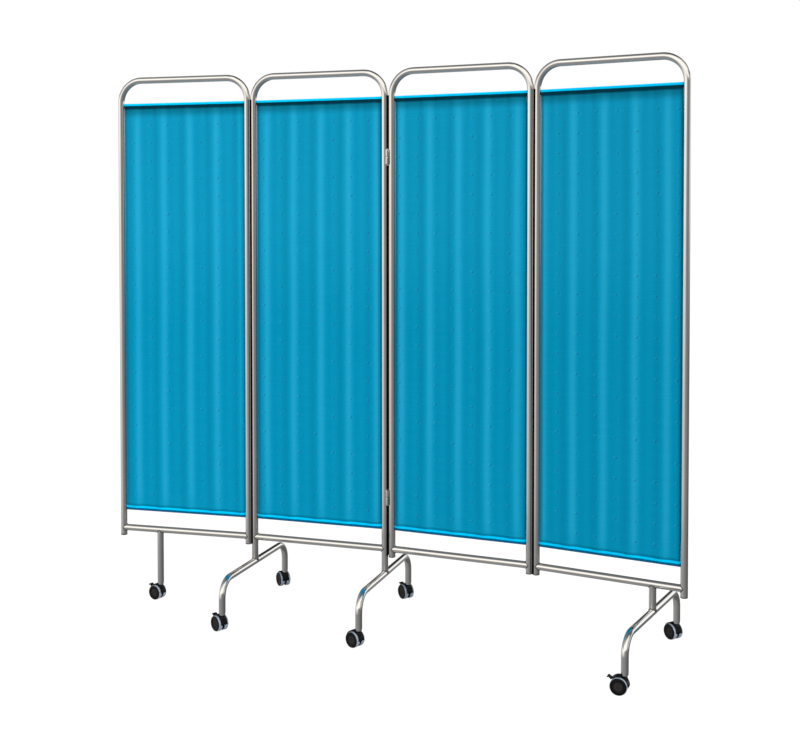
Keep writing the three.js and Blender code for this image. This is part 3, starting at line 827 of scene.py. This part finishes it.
def frame_skin(end_z):
    """Stiles and top rail from one tube: an upturned U in the panel's plane."""
    span = RIGHT_STILE - LEFT_STILE
    return upturned_u(PITCH / 2 * ALONG, ALONG, ACROSS, span, end_z, TOP_RAIL_Z, TOP_BEND, CUT_END)


def rail_skins():
    """The bottom rail between the stiles, with a bead at each end."""
    left = np.array([LEFT_STILE, 0.0, BOTTOM_RAIL_Z])
    right = np.array([RIGHT_STILE, 0.0, BOTTOM_RAIL_Z])
    return [bar(left, right, ACROSS, BRANCH_RADIUS), bead(left, ALONG, UP), bead(right, -ALONG, UP)]


def rod_skin(height):
    """A curtain rod between the stiles."""
    start = np.array([LEFT_STILE + TUBE_RADIUS, 0.0, height])
    end = np.array([RIGHT_STILE - TUBE_RADIUS, 0.0, height])
    return bar(start, end, ACROSS, ROD_RADIUS, sides=20)


def plug_skin(x):
    """A stile plug under its stile: a low dome, radius * sin t wide and rising by 1 - cos t, and a rim."""
    dome = np.linspace(0.0, math.pi / 2, DOME_POINTS)
    low = [((TUBE_RADIUS - PLUG_DOME) * math.sin(t), PLUG_DOME * 0.5 * (1 - math.cos(t))) for t in dome]
    profile = low + [(TUBE_RADIUS - PLUG_LIP, PLUG_DOME), (TUBE_RADIUS, 2 * PLUG_DOME),
                     (TUBE_RADIUS, PLUG_HEIGHT), (0.0, PLUG_HEIGHT)]
    return turned(profile).shifted([x, 0.0, STILE_END_Z])


def dress_panel(number, place):
    """A panel's tube, bottom rail, rods and curtain, and the plugs of all panels but the second, whose
    stiles end on its feet."""
    body = f"panel_{number}"
    on_feet = number == 2
    end_z = FOOT_BAR_Z if on_feet else STILE_END_Z + PLUG_HEIGHT + PLUG_GAP
    build(f"frame_tube_{number}", place.stand(frame_skin(end_z)), [STEEL], body, "frame_steel",
          f"frame_{number}")
    build(f"lower_rail_{number}", place.stand(*rail_skins()), [STEEL, WELD], body, "frame_steel",
          f"bottom_rail_{number}")
    for level, height in (("upper", UPPER_ROD_Z), ("lower", LOWER_ROD_Z)):
        build(f"{level}_curtain_rod_{number}", place.stand(rod_skin(height)), [WIRE], body, "rod_steel",
              f"{level}_rod_{number}")
    if not on_feet:
        for side, x in (("left", LEFT_STILE), ("right", RIGHT_STILE)):
            build(f"plug_{number}_{side}", place.stand(plug_skin(x)), [PLUG], body, "plug_plastic",
                  f"stile_plug_{number}_{side}")
    hang_curtain(number, place)


# Curtains


def cloth_profile():
    """Up the sheet from one turned-in edge to the other: (depth, height), with the front at minus.

    The sheet turns round each rod on half an ellipse and slants back behind itself to its seam; between
    the rods it hangs from their fronts."""
    turn = np.linspace(0.0, math.pi, HEM_POINTS)
    seam = np.linspace(1.0, 0.0, SEAM_POINTS)
    back = HEM_RADIUS * (1 - HEM_SLANT_SHARE * seam)
    low_seam = np.stack([back, LOWER_ROD_Z + HEM_TURN_IN * seam], -1)
    low_turn = np.stack([HEM_RADIUS * np.cos(turn), LOWER_ROD_Z - HEM_RISE * np.sin(turn)], -1)
    field = np.linspace(LOWER_ROD_Z, UPPER_ROD_Z, CLOTH_ROWS)[1:-1]
    middle = np.stack([np.full(len(field), -HEM_RADIUS), field], -1)
    high_turn = np.stack([-HEM_RADIUS * np.cos(turn), UPPER_ROD_Z + HEM_RISE * np.sin(turn)], -1)
    high_seam = np.stack([back[::-1], UPPER_ROD_Z - HEM_TURN_IN * seam[::-1]], -1)
    return np.concatenate([low_seam, low_turn[1:], middle, high_turn, high_seam[1:]])


def fold_wave(turns):
    """One fold for each turn: a steep side and a slack side, from a sine and its second harmonic."""
    phase = 2 * math.pi * turns
    return np.sin(phase) + FOLD_HARMONIC_SHARE * np.sin(2 * phase + FOLD_HARMONIC_LEAD)


def fold_slope(turns):
    """How steeply the fold wave rises, from 0 on its slack side to 1 where it is steepest."""
    phase = 2 * math.pi * turns
    slope = np.cos(phase) + 2 * FOLD_HARMONIC_SHARE * np.cos(2 * phase + FOLD_HARMONIC_LEAD)
    return np.clip(slope / (1 + 2 * FOLD_HARMONIC_SHARE), 0.0, 1.0)


def smooth(share):
    """A smooth step from 0 to 1: s * s * (3 - 2 * s)."""
    return share * share * (3 - 2 * share)


def ripple(seed, across, up):
    """Slow unevenness of hung cloth: the mean of a few long waves with seeded lengths and phases."""
    chance = np.random.default_rng(seed)
    total = np.zeros(np.broadcast(across, up).shape)
    for _ in range(RIPPLE_WAVES):
        kx, kz = chance.uniform(2.0, 9.0), chance.uniform(0.4, 1.6)
        phase = chance.uniform(0.0, 2 * math.pi, 2)
        total += np.sin(kx * across + phase[0]) * np.sin(2 * math.pi * kz * up + phase[1])
    return total / RIPPLE_WAVES


def curtain_skin(number):
    """The hung sheet, and its flat width and length: its profile over the rods, thrown into folds that
    are shallower at the hems, with fine gathers below the upper one.

    Each row of the grid reaches from stile to stile: its ends stop where they meet the round tubes."""
    profile = cloth_profile()
    share = np.linspace(0.0, 1.0, CLOTH_COLUMNS)[None]
    depth, height = profile[:, :1], profile[:, 1:]
    from_hem = np.minimum(height - LOWER_ROD_Z, UPPER_ROD_Z - height)
    loose = np.clip(from_hem / (2 * HEM_RADIUS), 0.0, 1.0)
    strength = HEM_FOLD_SHARE * loose + (1 - HEM_FOLD_SHARE) * smooth(np.clip(from_hem / HEM_FADE, 0.0, 1.0))
    across = share * (RIGHT_STILE - LEFT_STILE - 2 * TUBE_RADIUS)
    turns = (across - FOLD_RIDGES[number]) / FOLD_PITCH - FOLD_LEAD_SHARE
    turns = turns + FOLD_SHIFT_SHARE * ripple(FOLD_SHIFT_SEED + number, across, height)
    swing = strength * (1 + FOLD_DEPTH_RIPPLE_SHARE * ripple(FOLD_DEPTH_SEED + number, across, height))
    gather_shift = GATHER_SHIFT * ripple(GATHER_SEED + number, GATHER_SHORTENING * across, height)
    gathers = np.sin(2 * math.pi * across / GATHER_PITCH + gather_shift)
    gathered = loose * np.clip(1 - (UPPER_ROD_Z - height) / GATHER_REACH, 0.0, 1.0) ** 2
    y = depth + FOLD_DEPTH * swing * fold_wave(turns) + GATHER_DEPTH * gathered * gathers
    inward = np.clip(np.minimum(across, across[:, -1:] - across) / EDGE_FADE, 0.0, 1.0)
    y = y * (1 - strength * (1 - smooth(inward)))
    reach = TUBE_RADIUS + STILE_CLEARANCE
    ends = np.sqrt(np.clip(reach ** 2 - y[:, (0, -1)] ** 2, 0.0, None))
    left = LEFT_STILE + ends[:, :1]
    right = RIGHT_STILE - ends[:, 1:]
    x = left + share * (right - left)
    z = np.broadcast_to(height, y.shape)
    points = np.stack([x, y, z], -1)
    pattern = np.stack(np.broadcast_arrays(x - left[:1] - TUFT_COLUMNS[number], z), -1)
    skin = Skin(points, pattern)
    # Marks for painted light: a painted sheen on the steep side of each fold, which faces the key light, and
    # the reaches of the painted shade beside the stiles
    skin.marks = {"ridge": swing * fold_slope(turns), "to_edge": np.minimum(x - left, right - x),
                  "contact": (right - x) / CONTACT_WIDTHS[number]}
    return skin, lengths_along(points[len(profile) // 2])[-1], lengths_along(profile)[-1]


def hang_curtain(number, place):
    """A panel's curtain on its two rods, a sheet that gets half its thickness on either side."""
    skin, cut_width, cut_length = curtain_skin(number)
    curtain = build(f"hung_curtain_{number}", place.stand(skin), [CLOTH], f"panel_{number}", "curtain_cloth",
                    f"curtain_{number}", sharp=180.0)
    wall = curtain.modifiers.new("cloth", "SOLIDIFY")
    wall.thickness = CLOTH_THICKNESS
    wall.offset = 0.0


# Black cords: painted shade in the grooves between stiles


def cord_skins(stile, side, face, radius, angle, hinged):
    """A black cord along a stile, painted shade for the groove beside it, on its front or its rear: it
    stands off the stile's axis by reach * (cos a, sin a), and on the hinged face it stops at the hinges."""
    reach = TUBE_RADIUS + radius * CORD_STAND_OFF_SHARE
    x = stile + side * reach * math.cos(angle)
    y = face * reach * math.sin(angle)
    stops = [STILE_END_Z + CORD_END_RISE, TOP_RAIL_Z - TOP_BEND]
    if hinged:
        clear = HINGE_HEIGHT / 2 + CORD_HINGE_GAP
        stops[1:1] = [middle + end for middle in (LOWER_HINGE_Z, UPPER_HINGE_Z) for end in (-clear, clear)]
    return [bar([x, y, low], [x, y, high], ALONG, radius, sides=16)
            for low, high in zip(stops[::2], stops[1::2])]


def fill_groove(line, number, stile, side, cords):
    """The front and the rear cord on one line of hinges, both on one panel's stile."""
    for name, cord in cords.items():
        skins = cord_skins(stile, side, *cord)
        build(f"gap_shade_cord_{line}_{name}", panel_places[number].stand(*skins), [GAP_SHADE_BLACK],
              f"panel_{number}", "plug_plastic")


# Hinges


def half_hinge_skins(low, high, stile):
    """Half a barrel hinge about its own axis, with the leaf that reaches to a stile."""
    reach = math.hypot(stile[0], stile[1]) - LEAF_STOP
    foot, head = low + LEAF_FOOT_INSET, high - LEAF_HEAD_INSET
    barrel = bar(low * UP, high * UP, ALONG, BARREL_RADIUS, edge=BARREL_EDGE, sides=32)
    leaf = slab([(0.0, foot), (reach, foot), (reach, head), (0.0, head)], LEAF_THICKNESS / 2, LEAF_EDGE)
    towards_stile = Place((0.0, 0.0), math.atan2(stile[1], stile[0]))
    return [barrel, *towards_stile.stand(leaf)]


def hang_hinges(line, pin_panel, pin_stile, bore_panel, bore_stile):
    """Both halves of the two hinges on one line, on the panels that carry the pins and the bores."""
    axis = np.array([*joint_of[f"fold_{line}"]["pos_m"][:2], 0.0])
    halves = (("pin_half", pin_panel, pin_stile, -HINGE_HEIGHT / 2, -KNUCKLE_GAP / 2),
              ("bore_half", bore_panel, bore_stile, KNUCKLE_GAP / 2, HINGE_HEIGHT / 2))
    for level, height in (("upper", UPPER_HINGE_Z), ("lower", LOWER_HINGE_Z)):
        for half, number, stile_x, low, high in halves:
            skins = half_hinge_skins(low, high, panel_places[number].put([stile_x, 0.0, 0.0]) - axis)
            if half == "pin_half":
                skins.append(bar(PIN_LOW * UP, PIN_HIGH * UP, ALONG, PIN_RADIUS, sides=20))
            skins = [skin.shifted(axis + height * UP) for skin in skins]
            build(f"{level}_hinge_{line}_{half}", skins, [STEEL], f"panel_{number}", "frame_steel",
                  f"hinge_{line}_{level}_{half}")


# Legs and feet


def leg_skins():
    """The single leg under the first panel: a straight tube with a swaged end and a bead at the rail."""
    heights = np.append(LEG_END_Z + SWAGED_END[:, 0], [BOTTOM_RAIL_Z, BOTTOM_RAIL_Z])
    radii = np.append(SWAGED_END[:, 1], [TUBE_RADIUS, 0.0])
    path = LEG_PLACE * ALONG + heights[:, None] * UP
    tube = carried(path, np.broadcast_to(UP, path.shape), ACROSS, radii)
    return [tube, bead(path[-1], -UP, ALONG)]


def foot_skins(x, rail_z=None):
    """A foot across the panel: an upturned U with swaged ends and the bead round what stands on it, and
    where a rail is given, the post up to it with its own bead."""
    tube = upturned_u(x * ALONG, ACROSS, ALONG, FOOT_SPAN, LEG_END_Z, FOOT_BAR_Z, FOOT_BEND, SWAGED_END)
    skins = [tube, bead([x, 0.0, FOOT_BAR_Z], UP, ACROSS)]
    if rail_z:
        skins.append(bar([x, 0.0, FOOT_BAR_Z], [x, 0.0, rail_z], ACROSS, BRANCH_RADIUS))
        skins.append(bead([x, 0.0, rail_z], -UP, ALONG))
    return skins


def weld_under(name, number, skins):
    """A leg or foot under a panel, on that panel's body."""
    build(f"{name}_tube", panel_places[number].stand(*skins), [STEEL, WELD], f"panel_{number}",
          "frame_steel", name)


# Casters


def wheel_skins():
    """Both wheels and the axle: each wheel is a turned section of (radius, distance from the middle)
    points, a dished disc, a ring out over its shoulder, a crowned tread and the hollow inner side."""
    face, back, rim = WHEEL_HALF_WIDTH, WHEEL_INNER, WHEEL_RADIUS
    disc, ring, tread = 0, 1, 2
    section = (
        (disc, [(0.0, face - 0.0006), (0.0026, face - 0.0006), (0.0031, face - 0.0011),
                (0.0034, face - 0.0022), (0.0120, face - 0.0014)]),
        (ring, [(0.0133, face - 0.0016), (0.0137, face - 0.0004), (0.0146, face), (0.0202, face),
                (0.0210, face - 0.0003), (0.0213, face - 0.0009), (0.0217, face - 0.0006),
                (0.0228, face - 0.0009)]),
        (tread, [(0.0238, face - 0.0017), (0.0245, face - 0.0029), (rim - 0.0001, face - 0.0043),
                 (rim, face - 0.0075), (rim - 0.0001, back + 0.0022), (rim - 0.0006, back + 0.0008)]),
        (ring, [(rim - 0.0014, back + 0.0001), (0.0205, back), (0.0195, back + 0.0015),
                (0.0075, back + 0.0015), (0.0070, back), (0.0, back)]),
    )
    profile = [point for _, points in section for point in points]
    bands = [finish for finish, points in section for _ in points][:-1]
    skins = [turned(profile, WHEEL_SIDES, bands), turned(profile, WHEEL_SIDES, bands),
             bar(-AXLE_HALF * UP, AXLE_HALF * UP, ALONG, AXLE_RADIUS, sides=20, bands=ring)]
    skins[1].points[..., 2] *= -1
    return [skin.moved(onto_axle) for skin in skins]


def onto_axle(points):
    """From a piece turned about Z to one turned about the caster's axle."""
    return np.stack([points[..., 0] + TRAIL, points[..., 2], points[..., 1] + WHEEL_RADIUS], -1)


def about_axle(radius, angle):
    """Places round the axle, as (x, z): (trail + radius * cos a, wheel's radius + radius * sin a)."""
    return np.stack([TRAIL + radius * np.cos(angle), WHEEL_RADIUS + radius * np.sin(angle)], -1)


def fender_skin(start, end):
    """The fender: a flat strip's section, four quarter turns at its corners, carried round the axle."""
    middle = (HOOD_INNER + HOOD_OUTER) / 2
    flat = np.array([HOOD_HALF - HOOD_EDGE, (HOOD_OUTER - HOOD_INNER) / 2 - HOOD_EDGE])
    corners = np.array([(1, 1), (-1, 1), (-1, -1), (1, -1)])
    turn = np.linspace(0.0, math.pi / 2, RIM_POINTS) + np.arange(4)[:, None] * math.pi / 2
    section = (corners * flat)[:, None] + HOOD_EDGE * np.stack([np.cos(turn), np.sin(turn)], -1)
    section = section.reshape(-1, 2)
    section = np.concatenate([section, section[:1]])
    angle = np.linspace(start, end, FENDER_POINTS)[:, None]
    places = about_axle(middle + section[None, :, 1], angle)
    y = np.broadcast_to(section[None, :, 0], places.shape[:2])
    points = np.stack([places[..., 0], y, places[..., 1]], -1)
    pattern = np.stack([np.broadcast_to(middle * angle, y.shape), y], -1)
    return Skin(points, pattern, caps=True)


def hood_skins(braked):
    """The hood: fender, web between the wheels, boss round the axle, turret and stem. The fender of a
    braked caster starts clear of its pedal, and ends, as all do, at the skirt's height."""
    skirt = math.asin((SKIRT_Z - WHEEL_RADIUS) / HOOD_OUTER)
    start = PEDAL_ANGLE + PEDAL_CLEAR_ANGLE if braked else skirt
    end = math.pi - skirt
    web_foot = [(TRAIL - WEB_FOOT_HALF, SKIRT_Z), (TRAIL + WEB_FOOT_HALF, SKIRT_Z)]
    web_outline = [*about_axle(HOOD_INNER + WEB_OVERLAP, np.linspace(start, end, WEB_POINTS)), *web_foot]
    boss_outline = about_axle(BOSS_RADIUS, np.linspace(0.0, 2 * math.pi, BOSS_SIDES + 1)[:-1])
    profile = [(0.0, TURRET_FOOT_Z), (TURRET_RADIUS + 0.0022, TURRET_FOOT_Z),
               (TURRET_RADIUS + 0.0018, 0.0462), (TURRET_RADIUS + 0.0005, 0.0478), (TURRET_RADIUS, 0.0492),
               (TURRET_RADIUS, TURRET_TOP_Z - TURRET_EDGE), (TURRET_RADIUS - TURRET_EDGE, TURRET_TOP_Z),
               (0.0, TURRET_TOP_Z)]
    return [fender_skin(start, end), slab(web_outline, WEB_HALF, WEB_EDGE),
            slab(boss_outline, WEB_HALF, WEB_EDGE), turned(profile),
            bar(STEM_LOW_Z * UP, STEM_TOP_Z * UP, ALONG, STEM_RADIUS, sides=24, bands=1)]


def pedal_skins():
    """The brake pedal on its pivot at the fender's edge: a barrel and a hooked thumb tab, whose outline
    is drawn in shares of its length and rise."""
    outline = [(0.0, -0.0010), (-0.0008, PEDAL_RADIUS), (PEDAL_LENGTH * 0.42, PEDAL_RISE),
               (PEDAL_LENGTH * 0.72, PEDAL_RISE + 0.0004), (PEDAL_LENGTH, PEDAL_RISE * 0.36),
               (PEDAL_LENGTH * 0.86, PEDAL_RISE * 0.1), (PEDAL_LENGTH * 0.6, PEDAL_RISE - PEDAL_THICKNESS),
               (PEDAL_RADIUS, -0.0004)]
    tab = slab(eased(outline), PEDAL_HALF, PEDAL_EDGE)
    barrel = bar(-PEDAL_HALF * ACROSS, PEDAL_HALF * ACROSS, ALONG, PEDAL_RADIUS, edge=PEDAL_BARREL_EDGE,
                 sides=28)
    x, z = about_axle(HOOD_INNER + PEDAL_RADIUS, PEDAL_ANGLE)
    return [tab.shifted([x, 0.0, z]), barrel.shifted([x, 0.0, z])]


def dress_caster(name):
    """A caster's hood with its stem, its two wheels on their axle, and its pedal where it has a brake."""
    place = caster_place(name)
    braked = f"brake_{name}" in joint_of
    build(f"hood_{name}", place.stand(*hood_skins(braked)), [NYLON, WIRE],
          f"caster_{name}", "caster_black", f"caster_{name}_hood")
    build(f"twin_wheels_{name}", place.stand(*wheel_skins()), [HUB, NYLON, TREAD],
          f"caster_{name}_roller", "wheel_plastic", f"caster_{name}_wheels", sharp=28.0)
    if braked:
        build(f"pedal_{name}", place.stand(*pedal_skins()), [NYLON],
              f"caster_{name}_brake", "caster_black", f"caster_{name}_pedal")


# Floor, light and camera


def kinds_of_ray(nodes):
    """Two masks: rays straight from the camera or through glass, and rays off glossy surfaces."""
    path = nodes.add("ShaderNodeLightPath")
    straight = path.out("Is Camera Ray").math("MAXIMUM", path.out("Is Transmission Ray"))
    return straight, path.out("Is Glossy Ray")


def studio_floor():
    """A pale floor: plain white to the camera, with a light print of the shadows. The world below the
    horizon stands for it in the metal."""
    mesh = bpy.data.meshes.new("floor")
    corners = [(x * FLOOR_REACH, y * FLOOR_REACH, 0) for x, y in ((-1, -1), (1, -1), (1, 1), (-1, 1))]
    mesh.from_pydata(corners, [], [(0, 1, 2, 3)])
    material = bpy.data.materials.new("floor")
    material.use_nodes = True
    nodes = Nodes(material.node_tree)
    nodes.tree.nodes.remove(nodes.tree.nodes["Principled BSDF"])
    matt = nodes.add("ShaderNodeBsdfDiffuse", (), {"Color": FLOOR_GREY})
    glow = nodes.add("ShaderNodeEmission", (), {"Color": WHITE, "Strength": FLOOR_GLOW})
    straight, _ = kinds_of_ray(nodes)
    mixed = nodes.add("ShaderNodeMixShader", (), {0: straight * FLOOR_GLOW_SHARE, 1: matt, 2: glow})
    nodes.feed(nodes.tree.nodes["Material Output"].inputs["Surface"], mixed)
    mesh.materials.append(material)
    floor = bpy.data.objects.new("floor", mesh)
    bpy.context.scene.collection.objects.link(floor)
    floor.visible_glossy = False


def towards_camera(east, north):
    """How far a direction points towards the camera, and how far to its right."""
    toward = east * math.sin(CAMERA_TURN) - north * math.cos(CAMERA_TURN)
    right = east * math.cos(CAMERA_TURN) + north * math.sin(CAMERA_TURN)
    return toward, right


def soft_box(bearing, up, raised):
    """A broad soft box that stands low on the left and, from the raised height on, in front; it grows
    brighter upwards and ends at a top that is higher in front."""
    front_edge = bearing.between(0.95, 0.5)
    front_edge = front_edge + (bearing.between(1.65, 1.0) - front_edge) * up.between(0.42, 0.62)
    front_box = bearing.between(-1.4, -0.9) * front_edge
    left_box = bearing.band(*LEFT_BOX_BEARINGS)
    left_top = up.between(0.88, 0.5)
    top = left_top + (up.between(1.0, 0.86) - left_top) * bearing.between(-0.8, -0.45)
    rising = 0.24 * up.between(-0.290, -0.215) + 0.76 * up.between(-0.28, 0.26)
    return (left_box * (1 - 0.88 * raised) + front_box * raised) * rising * top


def dim_walls(bearing, up):
    """The dim light between the boxes: it fades to the right, below the horizon and overhead, and almost
    goes out at the dark wall behind."""
    level = DIM_LEVEL + DIM_LEFT_LEVEL * bearing.between(1.6, -1.0)
    level = level * (1 - 0.5 * up.between(0.75, 0.97)) * (1 - 0.14 * up.between(-0.215, -0.27))
    turned_away = bearing.math("ABSOLUTE").between(1.95, 2.45)
    return level * (1 - 0.85 * turned_away * up.band(*DARK_WALL_HEIGHTS))


def rear_wall(bearing, up):
    """The low pale wall behind, and more weakly round to the left."""
    behind = bearing.math("ABSOLUTE").between(2.2, 2.75)
    to_left = bearing.between(-1.15, -1.9)
    return behind.math("MAXIMUM", 0.6 * to_left) * up.band(*REAR_WALL_HEIGHTS)


def studio_walls(nodes, bearing, up):
    """What the metal sees, by bearing from the camera's side and by height: the dim walls, the soft box,
    the rear wall, and a glow and a low bright panel far on the right; and the tint of their light."""
    raised = up.between(0.12, 0.30)
    box = soft_box(bearing, up, raised)
    glow = bearing.band(*GLOW_BEARINGS) * up.band(*GLOW_HEIGHTS)
    panel = bearing.band(*PANEL_BEARINGS) * up.band(*PANEL_HEIGHTS)
    level = dim_walls(bearing, up) + SOFT_BOX_LEVEL * box + PANEL_LEVEL * panel
    level = level + REAR_WALL_LEVEL * rear_wall(bearing, up) + GLOW_LEVEL * glow
    warm = nodes.blend(raised, WARM_LOW_LIGHT, WARM_HIGH_LIGHT)
    return level, nodes.blend(box, COOL_LIGHT, warm)


def studio_world():
    """White to the camera, an even level on matt surfaces, and a studio in the metal."""
    world = bpy.data.worlds.new("studio")
    bpy.context.scene.world = world
    world.use_nodes = True
    nodes = Nodes(world.node_tree)
    background = nodes.tree.nodes["Background"]
    east, north, up = nodes.parts(nodes.add("ShaderNodeTexCoord"))
    toward, right = towards_camera(east, north)
    level, colour = studio_walls(nodes, right.math("ARCTAN2", toward), up)
    straight, glossy = kinds_of_ray(nodes)
    matt = (1 - straight) * (1 - glossy)
    nodes.feed(background.inputs["Color"], nodes.blend(glossy, WHITE, colour))
    nodes.feed(background.inputs["Strength"], AMBIENT_LEVEL * matt + straight + glossy * level)


def key_light():
    """A broad soft light from the right and above: white matt faces it at KEY_LEVEL."""
    lamp = bpy.data.lights.new("key", "SUN")
    lamp.energy = KEY_LEVEL * math.pi
    lamp.angle = KEY_WIDTH
    key = bpy.data.objects.new("key", lamp)
    bpy.context.scene.collection.objects.link(key)
    key.rotation_euler = (math.pi / 2 - KEY_HEIGHT, 0.0, KEY_AZIMUTH)
    key.visible_glossy = False


def photo_camera():
    """The camera at the photograph's place; the shift puts its horizon at the right height."""
    data = bpy.data.cameras.new("camera")
    data.sensor_width = SENSOR
    data.lens = FOCAL_PIXELS * SENSOR / PHOTO_WIDTH
    data.shift_y = (HORIZON_PIXEL - PHOTO_HEIGHT / 2) / PHOTO_WIDTH
    camera = bpy.data.objects.new("camera", data)
    bpy.context.scene.collection.objects.link(camera)
    camera.location = panel_places[2].put(CAMERA_PLACE)
    camera.rotation_euler = (math.pi / 2 + CAMERA_PITCH, 0.0, CAMERA_TURN)
    bpy.context.scene.camera = camera


# The whole screen in its studio

for number, place in panel_places.items():
    dress_panel(number, place)

fill_groove("12", 2, LEFT_STILE, -1, OUTER_CORDS)
fill_groove("23", 2, RIGHT_STILE, 1, MIDDLE_CORDS)
fill_groove("34", 4, LEFT_STILE, -1, OUTER_CORDS)

hang_hinges("12", 2, LEFT_STILE, 1, RIGHT_STILE)
hang_hinges("23", 2, RIGHT_STILE, 3, LEFT_STILE)
hang_hinges("34", 3, RIGHT_STILE, 4, LEFT_STILE)

weld_under("leg_1", 1, leg_skins())
weld_under("foot_2", 2, foot_skins(LEFT_STILE))
weld_under("foot_3", 2, foot_skins(RIGHT_STILE))
weld_under("foot_4", 4, foot_skins(POST_PLACE, BOTTOM_RAIL_Z))

for joint_name in sorted(joint_of):
    if joint_name.startswith("swivel_"):
        dress_caster(joint_name.removeprefix("swivel_"))

studio_floor()
studio_world()
key_light()
photo_camera()
bpy.context.scene.view_settings.view_transform = "Standard"
